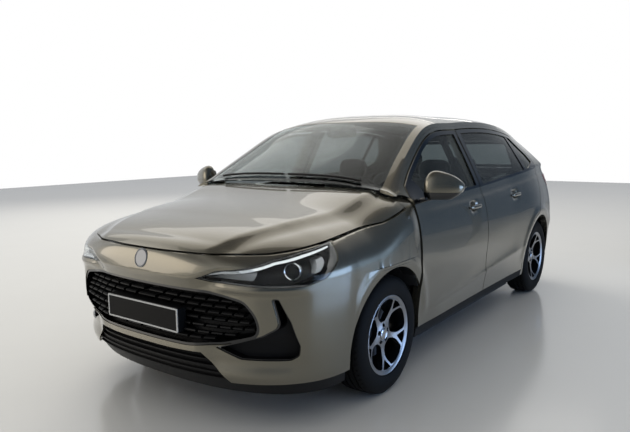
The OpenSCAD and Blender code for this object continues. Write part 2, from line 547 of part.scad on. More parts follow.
module steering_wheel() color(dark) translate(wheel_c) rotate([0, -65, 0]) {
    rotate_extrude($fn = 64) translate([steer_r - 15, 0]) circle(15, $fn = 24);
    cylinder(r = 60, h = 40, center = true);
    translate([0, 0, -170]) cylinder(r = 32, h = 170);
    for (a = [0, 90, 180]) rotate([0, 0, a + 90]) translate([40, -12, -8]) cube([steer_r - 60, 24, 16]);
}
module seat(w) translate([0, -w / 2, floor_z + 0.3]) {
    translate([-250, 0, 0]) cube([480, w, seat_h - 0.3]);
    translate([-250, 0, seat_h - 40]) rotate([0, -14, 0]) translate([-110, 0, 0]) cube([110, w, 580]);
    translate([-430, w / 2 - 120, seat_h + 500]) rotate([0, -14, 0]) cube([90, 240, 190]);
}
module seats() color(dark) {
    both_sides() translate([60, 370, 0]) seat(seat_w);
    difference() {
        translate([rear_x + 760, 0, 0]) seat(1150);
        translate([rear_x + 300, -110.3, 0]) cube([900, 220.6, clearance + 190.3]);
    }
}
module engine() color(steel) translate([front_x - 180, -330, 275.3]) cube([460, 660, 480]);
// The wheels steer about a line through the lower ball joint and the strut mount
ball = [front_x, 703, 234];
mount_top = [front_x, 595, 640];
king_tilt = atan((ball[1] - mount_top[1]) / (mount_top[2] - ball[2]));
module on_kingpin(z) translate(ball) rotate([king_tilt, 0, 0]) translate([0, 0, z]) children();
king_l = norm(mount_top - ball);
module strut_mount() on_kingpin(king_l + 0.3) cylinder(r = 34, h = 45);
module front_subframe() color(dark) {
    translate([front_x - house_r + 0.3, -330, 215]) cube([house_r + 130, 660, 60]);
    both_sides() {
        translate([front_x - 28, 320, 212]) cube([56, ball[1] - 320, 28]);
        on_kingpin(-16) cylinder(r = 24, h = 32);
    }
}
module knuckle() color(steel) {
    on_kingpin(16.3) cylinder(r = 17, h = 60);
    on_kingpin(150) cylinder(r = 26, h = king_l - 150);
    translate([front_x - 30, 640, 275]) cube([60, 40, 130]);
    translate([front_x, 645, tyre_r]) rotate([-90, 0, 0]) cylinder(r = 30, h = wheel_y + 20 - 645.1);
}
module rear_axle() color(dark) {
    translate([rear_x + 120, -560, 250]) cube([90, 1120, 70]);
    both_sides() {
        translate([rear_x - 40, 560, 250]) cube([house_r + 34.5, 60, 70]);
        translate([rear_x, 559, tyre_r]) rotate([-90, 0, 0]) cylinder(r = 30, h = wheel_y + 20 - 559.1);
    }
}
module exhaust() color(steel) translate([rear_x - 420, -420, 239.7]) {
    cube([420, 160, 90]);
    for (x = [60, 340]) translate([x, 70, 80]) cube([20, 20, 214.9]);
}
module wipers() color(black) intersection() {
    roof_skin(header_x - 40, cowl_x - 20, 12, -12.3, nx = 10);
    linear_extrude(1400) for (y = [-540, 20]) translate([cowl_x - 90, y]) square([16, 520]);
}
module tyre() color(black) rotate([-90, 0, 0]) rotate_extrude($fn = 96) polygon([[rim_r + 0.1, -tyre_w / 2 + 14],
    [rim_r + 12, -tyre_w / 2 + 4], [tyre_r - 40, -tyre_w / 2], [tyre_r - 12, -tyre_w / 2 + 12], [tyre_r, -tyre_w / 2 + 34],
    [tyre_r, tyre_w / 2 - 34], [tyre_r - 12, tyre_w / 2 - 12], [tyre_r - 40, tyre_w / 2], [rim_r + 12, tyre_w / 2 - 4],
    [rim_r + 0.1, tyre_w / 2 - 14]]);
module rim() color(steel) rotate([-90, 0, 0]) {
    rotate_extrude($fn = 96) polygon([[rim_r - 14, -82], [rim_r, -82], [rim_r, 82], [rim_r - 14, 82]]);
    // Five spokes that fork on their way out
    difference() {
        rotate_extrude($fn = 96) polygon([[0, 20], [74, 20], [150, 34], [rim_r - 5, 42], [rim_r - 5, 66],
            [160, 58], [70, 48], [40, 56], [0, 56]]);
        for (a = [0:72:359]) rotate([0, 0, a]) linear_extrude(100) {
            polygon([[128, 0], [178, -25], [184, 0], [178, 25]]);
            rotate(36) polygon([[80, -20], [80, 20], [112, 50], [150, 62], [170, 66], [182, 34], [185, 0],
                [182, -34], [170, -66], [150, -62], [112, -50]]);
        }
    }
    // Brake disc and its hat round the spindle
    rotate_extrude($fn = 96) polygon([[64, 26], [64, -20], [disc_r, -20], [disc_r, 2], [72, 2], [72, 26]]);
}
module left_front_door() color(paint) door_with_hinges(door_front_x) {
    front_door();
    handle(b_pillar_x + 190, 872);
}
module left_rear_door() color(paint) door_with_hinges(b_pillar_x - shut_gap / 2) {
    rear_door();
    handle(b_pillar_x - 640, 890);
}
module at_wheel(x, side) translate([x, side * wheel_y, tyre_r]) scale([1, 1, 1]) rotate([0, 0, side > 0 ? 0 : 180]) children();

underbody();
body_side();  // left_body_side
mirror([0, 1, 0]) body_side();  // right_body_side
roof();
windscreen();
fender();  // left_fender
mirror([0, 1, 0]) fender();  // right_fender
front_bumper();
grille();
skirts();
rear_bumper();
headlamp_units();
headlamp_lenses();
tail_lamps();
bonnet();
tailgate();
tailgate_glass();
left_front_door();
mirror([0, 1, 0]) left_front_door();  // right_front_door
left_rear_door();
mirror([0, 1, 0]) left_rear_door();  // right_rear_door
front_glass();  // left_front_glass
mirror([0, 1, 0]) front_glass();  // right_front_glass
rear_glass();  // left_rear_glass
mirror([0, 1, 0]) rear_glass();  // right_rear_glass
mirror_head();  // left_mirror
mirror([0, 1, 0]) mirror_head();  // right_mirror
dashboard();
steering_wheel();
seats();
engine();
front_subframe();
rear_axle();
exhaust();
wipers();
knuckle();  // left_knuckle
mirror([0, 1, 0]) knuckle();  // right_knuckle
at_wheel(front_x, 1) tyre();  // left_front_tyre
at_wheel(front_x, -1) tyre();  // right_front_tyre
at_wheel(rear_x, 1) tyre();  // left_rear_tyre
at_wheel(rear_x, -1) tyre();  // right_rear_tyre
at_wheel(front_x, 1) rim();  // left_front_rim
at_wheel(front_x, -1) rim();  // right_front_rim
at_wheel(rear_x, 1) rim();  // left_rear_rim
at_wheel(rear_x, -1) rim();  // right_rear_rim
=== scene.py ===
# %% [markdown]
# # A five-door hatchback in a pale studio
# The construction model gives every part its place and its joints. This script adds
# the looks: body panels with fine curvature, lamps, wheels, a cabin, and the studio.
# A car body could be sculpted by hand or drawn with subdivision surfaces. Here each
# panel is calculated from the same few section curves as the construction model, so the
# dressed car keeps its shut lines and its hinges without any measuring by eye.

import json
import math

import bmesh
import bpy
import numpy as np
from mathutils import Matrix, Vector

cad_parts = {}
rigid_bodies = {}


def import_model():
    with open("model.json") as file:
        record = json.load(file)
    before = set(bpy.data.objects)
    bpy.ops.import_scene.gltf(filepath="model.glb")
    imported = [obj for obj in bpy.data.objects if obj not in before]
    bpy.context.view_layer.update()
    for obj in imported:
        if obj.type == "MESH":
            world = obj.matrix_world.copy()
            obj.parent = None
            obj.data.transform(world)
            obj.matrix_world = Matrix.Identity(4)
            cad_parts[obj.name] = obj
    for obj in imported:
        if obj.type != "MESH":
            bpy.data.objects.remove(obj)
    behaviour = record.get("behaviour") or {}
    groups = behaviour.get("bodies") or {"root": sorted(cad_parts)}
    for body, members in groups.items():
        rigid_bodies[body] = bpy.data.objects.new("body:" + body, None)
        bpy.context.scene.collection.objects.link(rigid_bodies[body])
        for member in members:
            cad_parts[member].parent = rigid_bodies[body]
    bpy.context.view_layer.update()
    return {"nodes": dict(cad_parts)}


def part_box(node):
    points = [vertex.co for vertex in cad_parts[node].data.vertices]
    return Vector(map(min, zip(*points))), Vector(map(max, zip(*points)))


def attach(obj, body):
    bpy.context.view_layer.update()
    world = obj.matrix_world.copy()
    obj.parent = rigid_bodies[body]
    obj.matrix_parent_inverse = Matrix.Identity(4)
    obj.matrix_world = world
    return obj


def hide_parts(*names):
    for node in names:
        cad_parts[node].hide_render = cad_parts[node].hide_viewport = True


for spare in list(bpy.data.objects):
    bpy.data.objects.remove(spare)
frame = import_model()

# %% [markdown]
# ## Colours and materials
# The photograph shows a beige metallic paint, gloss black trim, dark glass, bright
# machined wheels and dull black plastics. Image textures would be one way. Small
# procedural patterns are used instead, with their scale worked out from real
# millimetres, because they stay sharp at any distance.

# %% One function for colours, one for nodes
MM = 0.001


def linear(code):
    """Turns an sRGB hex colour into the linear values that the renderer works with."""
    parts = [int(code[i : i + 2], 16) / 255 for i in (1, 3, 5)]
    return [c / 12.92 if c <= 0.04045 else ((c + 0.055) / 1.055) ** 2.4 for c in parts] + [1.0]


def add(tree, kind, links=(), **settings):
    """Adds a node, gives it its settings, and links (socket, from node, from socket)."""
    node = tree.nodes.new(kind)
    for key, value in settings.items():
        if key.startswith("in_"):
            name = key[3:].replace("_", " ")
            node.inputs[name].default_value = value
        else:
            setattr(node, key, value)
    for socket, source, output in links:
        tree.links.new(source.outputs[output], node.inputs[socket])
    return node


def surface(name, colour, metal=0.0, rough=0.5, grain=0.0, grain_mm=1.0, spread=0.0, **more):
    """A principled surface with a fine bump (grain) and a slight drift of its colour (spread)."""
    made = bpy.data.materials.new(name)
    made.use_nodes = True
    tree = made.node_tree
    shader = tree.nodes["Principled BSDF"]
    shader.inputs["Base Color"].default_value = linear(colour)
    shader.inputs["Metallic"].default_value = metal
    shader.inputs["Roughness"].default_value = rough
    for key, value in more.items():
        shader.inputs[key.replace("_", " ")].default_value = value
    place = add(tree, "ShaderNodeTexCoord")
    noise = add(tree, "ShaderNodeTexNoise", [("Vector", place, "Object")], in_Scale=1 / (grain_mm * MM), in_Detail=3.0)
    if grain:
        bump = add(tree, "ShaderNodeBump", [("Height", noise, "Fac")], in_Strength=grain, in_Distance=grain_mm * MM * 0.3)
        tree.links.new(bump.outputs["Normal"], shader.inputs["Normal"])
    if spread:
        dark = [c * (1 - spread) for c in linear(colour)[:3]] + [1.0]
        mix = add(tree, "ShaderNodeMix", [("Factor", noise, "Fac")], data_type="RGBA")
        mix.inputs[6].default_value = linear(colour)
        mix.inputs[7].default_value = dark
        tree.links.new(mix.outputs[2], shader.inputs["Base Color"])
    return made


# %% The materials of the car
paint = surface("metallic_paint", "#7d7869", 0.85, 0.27, 0.0, 0.6, 0.16, Coat_Weight=1.0, Coat_Roughness=0.03)
gloss_black = surface("gloss_black", "#060607", 0.0, 0.12, 0.0, 40, 0.2, Coat_Weight=0.6, Coat_Roughness=0.05)
satin_black = surface("satin_black_plastic", "#0b0b0c", 0.0, 0.46, 0.25, 1.2, 0.1, Specular_IOR_Level=0.25)
grained = surface("grained_black_plastic", "#101011", 0.0, 0.65, 0.5, 1.0, 0.12, Specular_IOR_Level=0.25)
rubber = surface("tyre_rubber", "#080808", 0.0, 0.7, 0.3, 1.5, 0.2, Specular_IOR_Level=0.2)
glass = surface("tinted_glass", "#8e9697", 0.0, 0.02, 0.0, 60, 0.05, Transmission_Weight=1.0, IOR=1.1, Coat_Weight=0.35)
dark_glass = surface("privacy_glass", "#868e8f", 0.0, 0.02, 0.0, 60, 0.05, Transmission_Weight=1.0, IOR=1.1, Coat_Weight=0.5)
lens = surface("clear_lens", "#f2f5f6", 0.0, 0.02, 0.0, 60, 0.02, Transmission_Weight=1.0, IOR=1.18)
red_lens = surface("red_lens", "#8e0a10", 0.0, 0.08, 0.1, 6, 0.25, Coat_Weight=1.0)
chrome = surface("bright_chrome", "#c9ccd0", 1.0, 0.12, 0.0, 20, 0.04)
alloy = surface("machined_alloy", "#a7a8aa", 0.9, 0.34, 0.08, 0.4, 0.08)
dark_alloy = surface("painted_alloy", "#070708", 0.0, 0.35, 0.0, 30, 0.1, Coat_Weight=0.3)
steel = surface("brushed_steel", "#8b8d90", 0.9, 0.38, 0.2, 0.5, 0.12)
cast = surface("cast_metal", "#5c5e61", 0.8, 0.6, 0.6, 2.0, 0.2)
primer = surface("underbody_primer", "#26282a", 0.1, 0.7, 0.4, 3.0, 0.2)
fabric = surface("seat_fabric", "#1c1d20", 0.0, 0.9, 0.9, 1.4, 0.35, Sheen_Weight=0.4)
lining = surface("roof_lining", "#3a3a3b", 0.0, 0.95, 0.7, 1.6, 0.15, Sheen_Weight=0.2)
plate_black = surface("blank_plate", "#050505", 0.0, 0.6, 0.0, 30, 0.1, Specular_IOR_Level=0.2)
plate_pale = surface("plate_border", "#b9bbbb", 0.2, 0.35, 0.0, 30, 0.05)
print("materials", len(bpy.data.materials))

# %% [markdown]
# ## The section curves
# These are the lines a body engineer would draw first: the plan, the section of the
# sides, the belt line, the roof rail, and the centreline of bonnet and roof. Smooth
# curves through a few points give even highlights, which is what paint shows most.

# %% Curves and sections
NOSE, TAIL = 2.055, -2.055
FRONT, REAR = 1.165, -1.405
HALF, HEIGHT = 0.898, 1.5
WAIST, WHEEL_Y, TYRE_R = 0.69, 0.77, 0.31
CORNER_F, CORNER_R = FRONT + 0.33, REAR - 0.3
DOOR_F, SPLIT, COWL, HEADER, ROOF_END = 0.845, -0.185, 1.015, 0.255, -1.555
ARCH_R, GAP = 0.362, 0.008


def curve(points, x):
    """Smooth curve through points (x, value)."""
    p = np.array(points, float)
    x = np.asarray(x, float)
    h = np.diff(p[:, 0])
    s = np.diff(p[:, 1]) / h
    inner = (s[:-1] * h[1:] + s[1:] * h[:-1]) / (h[1:] + h[:-1])
    m = np.concatenate([s[:1], inner, s[-1:]])
    i = np.clip(np.searchsorted(p[:, 0], x, side="right") - 1, 0, len(h) - 1)
    t = np.clip((x - p[i, 0]) / h[i], 0, 1)
    u = 1 - t
    ends = p[i, 1] * u * u * (1 + 2 * t) + p[i + 1, 1] * t * t * (3 - 2 * t)
    return ends + h[i] * t * u * (m[i] * u - m[i + 1] * t)


def smooth(t):
    """Runs from 0 to 1 with level ends."""
    t = np.clip(t, 0, 1)
    return t * t * (3 - 2 * t)


PLAN = [(TAIL, HALF - 0.04), (REAR - 0.32, HALF - 0.022), (REAR, HALF - 0.002), (REAR + 0.7, HALF - 0.014),
        (DOOR_F - 0.7, HALF - 0.018), (FRONT - 0.45, HALF - 0.012), (FRONT, HALF), (CORNER_F, HALF - 0.016),
        (NOSE, HALF - 0.03)]
INSET = [(0.15, 0.062), (0.25, 0.034), (0.33, 0.026), (0.46, 0.014), (0.6, 0.002), (0.69, 0), (0.79, 0.008),
         (0.88, 0.026), (0.96, 0.052), (1.06, 0.086)]
BELT = [(TAIL, 1.12), (REAR, 1.075), (SPLIT, 1.005), (DOOR_F, 0.975), (FRONT, 0.96)]
RAIL_Z = [(TAIL, 1.17), (REAR - 0.33, 1.305), (REAR, 1.378), (SPLIT, 1.432), (DOOR_F - 0.56, 1.385),
          (DOOR_F - 0.22, 1.215), (DOOR_F + 0.09, 1.035)]
RAIL_Y = [(TAIL, 0.5), (REAR - 0.33, 0.545), (REAR, 0.575), (SPLIT, 0.592), (DOOR_F - 0.56, 0.606),
          (DOOR_F - 0.22, 0.66), (DOOR_F + 0.09, 0.73)]
BONNET = [(COWL - 0.2, 1.062), (COWL, 1.04), (FRONT, 1.01), (FRONT + 0.45, 0.94), (NOSE - 0.15, 0.872),
          (NOSE - 0.062, 0.832), (NOSE - 0.018, 0.772), (NOSE, WAIST)]
ROOF = [(TAIL, 1.29), (REAR - 0.4, 1.402), (REAR, 1.458), (SPLIT - 0.25, 1.4978), (DOOR_F - 0.62, 1.452),
        (DOOR_F - 0.3, 1.305), (COWL, 1.048), (FRONT, 0.94)]
NOSE_X = [(0.15, NOSE - 0.095), (0.23, NOSE - 0.04), (0.33, NOSE - 0.012), (0.45, NOSE), (0.6, NOSE), (0.69, NOSE)]
TAIL_X = [(0.15, TAIL + 0.09), (0.26, TAIL + 0.034), (0.42, TAIL + 0.004), (0.6, TAIL + 0.008), (0.69, TAIL + 0.036),
          (0.9, TAIL + 0.062), (1.02, TAIL + 0.092), (1.16, TAIL + 0.17), (1.3, TAIL + 0.252), (1.4, TAIL + 0.33)]
CREASE_LOW = [(-1.2, 0.47), (-0.6, 0.43), (0.2, 0.372), (0.84, 0.335)]
CREASE_HIGH = [(TAIL, 1.03), (-1.4, 0.985), (SPLIT, 0.925), (0.9, 0.9)]
HANDLES = [(SPLIT + 0.19, 0.872), (SPLIT - 0.64, 0.89)]


def lower_y(x, z):
    """Half width of the sides below the belt line."""
    return curve(PLAN, x) - curve(INSET, z)


def relief(x, z):
    """Lines pressed into the sides: a scallop in the doors, a shoulder line, arch lips, handle cups."""
    over = z - curve(CREASE_LOW, x)
    doors = smooth((DOOR_F - 0.02 - x) / 0.3) * smooth((x + 1.12) / 0.35)
    ridge = np.where(over > 0, np.exp(-over / 0.045), np.exp(over / 0.09))
    swell = np.exp(-(((over - 0.25) / 0.10) ** 2))
    out = doors * (0.014 * ridge + 0.003 * swell)
    over = z - curve(CREASE_HIGH, x)
    dip = np.where(over > 0, over / 0.028 * np.exp(1 - over / 0.028), 0)
    out = out - 0.006 * smooth((0.95 - x) / 0.5) * dip
    for axle in (FRONT, REAR):
        far = np.hypot(x - axle, z - TYRE_R)
        out = out + 0.007 * np.exp(-(((far - 0.405) / 0.035) ** 2)) * smooth((z - 0.3) / 0.1)
    for hx, hz in HANDLES:
        far = ((x - hx) / 0.066) ** 4 + ((z - hz) / 0.036) ** 4
        out = out - 0.017 * np.exp(-far * 1.6)
    return out


def side_y(x, z, pressed=True):
    """Half width of the sides up to the roof rail."""
    b = curve(BELT, x)
    r = np.maximum(curve(RAIL_Z, x), b + 0.06)
    t = np.clip((z - b) / (r - b), 0, 1.04)
    foot = lower_y(x, np.minimum(z, b))
    top = np.minimum(curve(RAIL_Y, x), foot)
    y = foot + (top - foot) * t + 0.022 * t * (1 - t)
    return y + (relief(x, z) * (1 - np.clip(t * 4, 0, 1)) if pressed else 0)


def deck_power(x):
    """The section of bonnet and wings softens from the windscreen to the nose."""
    return 4.3 - 1.7 * smooth((x - DOOR_F - 0.06) / 0.42)


def deck_w(x):
    s = np.clip((x - CORNER_F) / (NOSE - CORNER_F), 0, 1)
    return lower_y(np.minimum(x, CORNER_F), WAIST) * (1 - s**2.5) ** 0.4


def deck_z(x, y):
    """Height of the bonnet and the wing tops, with the bonnet's two long creases."""
    p = deck_power(x)
    s = np.clip(np.abs(y) / np.maximum(deck_w(x), 1e-3), 0, 1)
    z = WAIST + (curve(BONNET, x) - WAIST) * (1 - s**p) ** (1 / p)
    d = np.abs(y) - curve([(0.9, 0.64), (1.3, 0.6), (1.7, 0.5), (2.0, 0.37)], x)
    ridge = np.where(d < 0, np.exp(d / 0.10), np.exp(-d / 0.035))
    fade = smooth((x - 0.86) / 0.12) * smooth((2.03 - x) / 0.12)
    return z + (0.009 * ridge - 0.006 * np.exp(-(((d - 0.07) / 0.05) ** 2))) * fade


def meet_door(p):
    """Close to the door the wing runs into the door's own surface."""
    b = np.clip(1 - (p[..., 0] - DOOR_F) / 0.13, 0, 1)
    w = b * b * (3 - 2 * b) * np.clip((curve(BELT, p[..., 0]) + 0.01 - p[..., 2]) / 0.04, 0, 1)
    q = p.copy()
    q[..., 1] += np.where(p[..., 1] < 0, -1, 1) * w * (side_y(p[..., 0], p[..., 2]) - np.abs(p[..., 1]))
    return q


def front_pt(s, r, z0=0.225):
    """Front skin: s goes round the nose and back along the side, r goes up and then over the deck."""
    a = np.abs(s)
    t = np.minimum(a, 1)
    z = z0 + (WAIST - z0) * np.minimum(r, 1)
    w0 = np.cos(np.pi / 2 * t).clip(0) ** 0.8
    w1 = np.sin(np.pi / 2 * t).clip(0) ** 0.8
    x_side = CORNER_F - np.maximum(a - 1, 0)
    round_nose = a < 1
    x = np.where(round_nose, CORNER_F + (curve(NOSE_X, z) - CORNER_F) * w0, x_side)
    y = np.where(round_nose, lower_y(CORNER_F, z) * w1, lower_y(x_side, z) + relief(x_side, z))
    k = np.maximum(r - 1, 0) ** 2
    xx = x + (np.minimum(x, CORNER_F) - x) * k
    yy = y * (1 - k)
    up = r > 1
    zz = np.where(up, deck_z(xx, yy), z)
    return meet_door(np.stack([xx, np.where(s < 0, -yy, yy), zz], -1))


def press_nose(p):
    """Presses the brow over the grille into the front: it turns under below a crease."""
    y, z = np.abs(p[..., 1]), p[..., 2]
    crease = 0.708 + 0.062 * smooth((y - 0.30) / 0.2)
    under = np.clip((crease - z) / 0.06, 0, 1) ** 0.8
    q = p.copy()
    q[..., 0] -= 0.03 * under * (1 - smooth((y - 0.46) / 0.2)) * smooth((z - 0.42) / 0.12)
    ledge = np.exp(-(((z - 0.675) / 0.02) ** 2)) * smooth((y - 0.40) / 0.1) * (1 - smooth((y - 0.76) / 0.08))
    q[..., 0] += 0.013 * ledge
    shelf = smooth((z - 0.262) / 0.085) * smooth((0.47 - z) / 0.08)
    q[..., 0] -= 0.020 * shelf * smooth((y - 0.34) / 0.12) * (1 - smooth((y - 0.72) / 0.08))
    return q


def tail_pt(t, z):
    """Tail: t runs from 0 on the centreline to 1 where the side begins."""
    w0 = np.cos(np.pi / 2 * np.abs(t)).clip(0) ** 0.8
    w1 = np.sin(np.pi / 2 * np.abs(t)).clip(0) ** 0.8
    y = side_y(CORNER_R, z) * w1
    return np.stack([CORNER_R + (curve(TAIL_X, z) - CORNER_R) * w0, np.where(t < 0, -y, y), z + 0 * t], -1)


def roof_pt(x, v):
    """Roof and windscreen: v runs from -1 to 1 between the rails."""
    c = curve(ROOF, x)
    return np.stack([x + 0 * v, curve(RAIL_Y, x) * v, c - (c - curve(RAIL_Z, x)) * np.abs(v) ** 3.2], -1)


print("half width at the doors", round(float(side_y(0.3, 0.7)), 3))

# %% [markdown]
# ## Shells, prisms and cuts
# Sheet metal is made as a closed shell under a fine grid of points, then trimmed with
# prisms drawn in side view, front view or plan, as a press trims a panel. Trimming with
# Booleans keeps neighbouring panels on one surface, so highlights run across the gaps.

# %% Helpers for meshes
bpy.context.scene.frame_set(1)


def link(name, mesh):
    piece = bpy.data.objects.new(name, mesh)
    bpy.context.scene.collection.objects.link(piece)
    return piece


def mesh_of(name, verts, faces):
    made = bpy.data.meshes.new(name)
    made.from_pydata(np.asarray(verts, float).reshape(-1, 3).tolist(), [], [list(map(int, f)) for f in faces])
    made.validate()
    return made


def volume(mesh):
    """Signed volume of a closed mesh, to find out which way its faces look."""
    count = len(mesh.vertices)
    co = np.empty(count * 3)
    mesh.vertices.foreach_get("co", co)
    co = co.reshape(-1, 3)
    mesh.calc_loop_triangles()
    tri = np.empty(len(mesh.loop_triangles) * 3, int)
    mesh.loop_triangles.foreach_get("vertices", tri)
    a, b, c = (co[tri.reshape(-1, 3)[:, i]] for i in range(3))
    return float((a * np.cross(b, c)).sum() / 6)


def outward(mesh):
    if volume(mesh) < 0:
        mesh.flip_normals()
    return mesh


def sunk(grid, depth, middle=(0, 0, 0.6)):
    """The same grid moved inwards, square to the surface."""
    n = np.cross(np.gradient(grid, axis=0), np.gradient(grid, axis=1))
    n /= np.maximum(np.linalg.norm(n, axis=-1, keepdims=True), 1e-9)
    if (n * (grid - np.array(middle))).sum() < 0:
        n = -n
    return grid - depth * n


def slab(name, outer, inner):
    """Closed solid between two grids of the same size."""
    m, n = outer.shape[:2]
    k = m * n
    at = np.arange(k).reshape(m, n)
    quads = np.stack([at[:-1, :-1], at[:-1, 1:], at[1:, 1:], at[1:, :-1]], -1).reshape(-1, 4)
    ring = np.concatenate([at[0, :-1], at[:-1, -1], at[-1, :0:-1], at[:0:-1, 0]])
    after = np.roll(ring, -1)
    rim = np.stack([ring, ring + k, after + k, after], -1)
    verts = np.concatenate([outer.reshape(-1, 3), inner.reshape(-1, 3)])
    return outward(mesh_of(name, verts, np.concatenate([quads, quads[:, ::-1] + k, rim])))


def shell(name, grid, thick, depth=0.0):
    return slab(name, sunk(grid, depth) if depth else grid, sunk(grid, depth + thick))


def prism(outline, lo, hi, view):
    """Prism of an outline in (x, z) side view, (y, z) front view or (x, y) plan, between lo and hi."""
    axes = {"side": (0, 2, 1), "front": (1, 2, 0), "plan": (0, 1, 2)}[view]
    made = bmesh.new()
    rings = []
    for depth in (lo, hi):
        ring = []
        for u, v in outline:
            at = [0, 0, 0]
            at[axes[0]], at[axes[1]], at[axes[2]] = u, v, depth
            ring.append(made.verts.new(at))
        rings.append(ring)
    made.faces.new(rings[0])
    made.faces.new(rings[1][::-1])
    for i in range(len(outline)):
        j = (i + 1) % len(outline)
        made.faces.new([rings[0][j], rings[0][i], rings[1][i], rings[1][j]])
    bmesh.ops.recalc_face_normals(made, faces=made.faces)
    mesh = bpy.data.meshes.new("tool")
    made.to_mesh(mesh)
    made.free()
    return outward(mesh)


def cut(piece, keep=(), drop=()):
    """Keeps what lies inside each keep mesh and takes away what lies inside each drop mesh."""
    for operation, tools in (("INTERSECT", keep), ("DIFFERENCE", drop)):
        for mesh in tools:
            tool = link("tool", mesh)
            step = piece.modifiers.new("trim", "BOOLEAN")
            step.operation = operation
            step.solver = "MANIFOLD"
            step.object = tool
            shown = piece.evaluated_get(bpy.context.evaluated_depsgraph_get())
            after = bpy.data.meshes.new_from_object(shown)
            piece.modifiers.clear()
            before = piece.data
            piece.data = after
            bpy.data.meshes.remove(before)
            bpy.data.objects.remove(tool)
            bpy.data.meshes.remove(mesh)
    return piece


def finish(piece, material, body, angle=38):
    """Gives a piece its material, its body and smooth shading with sharp cut edges."""
    piece.data.materials.clear()
    piece.data.materials.append(material)
    piece.data.shade_smooth()
    piece.data.set_sharp_from_angle(angle=math.radians(angle))
    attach(piece, body)
    return piece


def mirrored(piece, name, body):
    """The same piece on the right side of the car."""
    mesh = piece.data.copy()
    mesh.transform(Matrix.Scale(-1, 4, (0, 1, 0)))
    mesh.flip_normals()
    twin = link(name, mesh)
    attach(twin, body)
    return twin


def both(name, mesh, material, body, keep=(), drop=(), nodes=None, angle=38):
    """A left piece and its right twin. A name or body with {} is filled in with the side."""
    piece = cut(link(name.format("left"), mesh), keep, drop)
    finish(piece, material, body.format("left"), angle)
    twin = mirrored(piece, name.format("right"), body.format("right"))
    for side, one in (("left", piece), ("right", twin)):
        if nodes:
            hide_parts(*[n.format(side) for n in nodes])
    return piece, twin


def one(name, mesh, material, body="body", keep=(), drop=(), nodes=None, angle=38):
    piece = finish(cut(link(name, mesh), keep, drop), material, body, angle)
    if nodes:
        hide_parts(*nodes)
    return piece


def circle(x, z, r, n=96):
    turn = np.linspace(0, 2 * np.pi, n, endpoint=False)
    return [(x + r * math.cos(a), z + r * math.sin(a)) for a in turn]


def grow(outline, d):
    """The outline moved outwards by d, corners kept."""
    p = np.array(outline, float)
    area = (p[:, 0] * np.roll(p[:, 1], -1) - np.roll(p[:, 0], -1) * p[:, 1]).sum()
    e = np.roll(p, -1, 0) - p
    e /= np.maximum(np.linalg.norm(e, axis=1, keepdims=True), 1e-9)
    n = np.stack([e[:, 1], -e[:, 0]], 1) * (1 if area > 0 else -1)
    before = np.roll(n, 1, 0)
    bend = (n + before) / np.maximum(1 + (n * before).sum(1, keepdims=True), 0.35)
    return [tuple(q) for q in p + bend * d]


def soft(outline, r, n=5):
    """The outline with its corners rounded by r."""
    p = np.array(outline, float)
    out = []
    for i in range(len(p)):
        a, b, c = p[i - 1], p[i], p[(i + 1) % len(p)]
        da, dc = np.linalg.norm(a - b), np.linalg.norm(c - b)
        s = b + (a - b) / da * min(r, da * 0.45)
        e = b + (c - b) / dc * min(r, dc * 0.45)
        for t in np.linspace(0, 1, n):
            out.append(tuple((1 - t) ** 2 * s + 2 * t * (1 - t) * b + t * t * e))
    return out


def mesh_grid(u, v):
    return np.meshgrid(np.asarray(u, float), np.asarray(v, float), indexing="xy")


def side_grid(x0, x1, z0, z1, step=0.0115, pressed=True):
    x, z = mesh_grid(np.linspace(x0, x1, int(abs(x1 - x0) / step) + 2), np.linspace(z0, z1, int((z1 - z0) / step) + 2))
    return np.stack([x, side_y(x, z, pressed), z], -1)


def front_grid(s0, s1, r0, r1, ns, nr, z0=0.225, pressed=True):
    s, r = mesh_grid(np.linspace(s0, s1, ns), np.linspace(r0, r1, nr))
    p = front_pt(s, r, z0)
    return press_nose(p) if pressed else p


def rail_pts(x0, x1, n, drop):
    return [(x, float(curve(RAIL_Z, x)) - drop) for x in np.linspace(x0, x1, n)]


print("helpers ready")

# %% [markdown]
# ## Doors, windows and body sides
# The four doors, their glass and the side wall are all trimmed from one surface. The
# gloss black frame round the windows is a thin plate that stands just proud of it, and
# the doors carry a bar handle over a pressed cup, as the photograph shows.

# %% Outlines in side view
belt = lambda x: float(curve(BELT, x))
FRONT_DOOR = [(SPLIT + 0.004, 0.265), (DOOR_F - 0.014, 0.265), (DOOR_F, 0.355), (DOOR_F, belt(DOOR_F) + 0.03)]
FRONT_DOOR += rail_pts(DOOR_F - 0.03, SPLIT + 0.019, 24, 0.052) + [(SPLIT + 0.004, 0.99)]
REAR_EDGE = [(REAR - 0.13, 1.165), (REAR - 0.062, 0.96), (REAR + 0.012, 0.79)]
REAR_EDGE += [(REAR + 0.398 * math.cos(math.radians(a)), TYRE_R + 0.398 * math.sin(math.radians(a))) for a in range(80, -1, -8)]
REAR_EDGE += [(REAR + 0.394, 0.265)]
REAR_DOOR = [(SPLIT - 0.004, 0.265)] + rail_pts(SPLIT - 0.004, REAR + 0.04, 16, 0.052) + REAR_EDGE
FRONT_WINDOW = [(SPLIT + 0.062, belt(SPLIT)), (DOOR_F - 0.07, belt(DOOR_F) + 0.008)]
FRONT_WINDOW += rail_pts(DOOR_F - 0.12, SPLIT + 0.062, 20, 0.078)
REAR_WINDOW = [(SPLIT - 0.062, belt(SPLIT))] + rail_pts(SPLIT - 0.062, REAR + 0.13, 14, 0.078)
REAR_WINDOW += [(REAR - 0.04, 1.185), (REAR - 0.06, belt(REAR) + 0.045), (REAR + 0.12, belt(REAR + 0.12) + 0.004)]
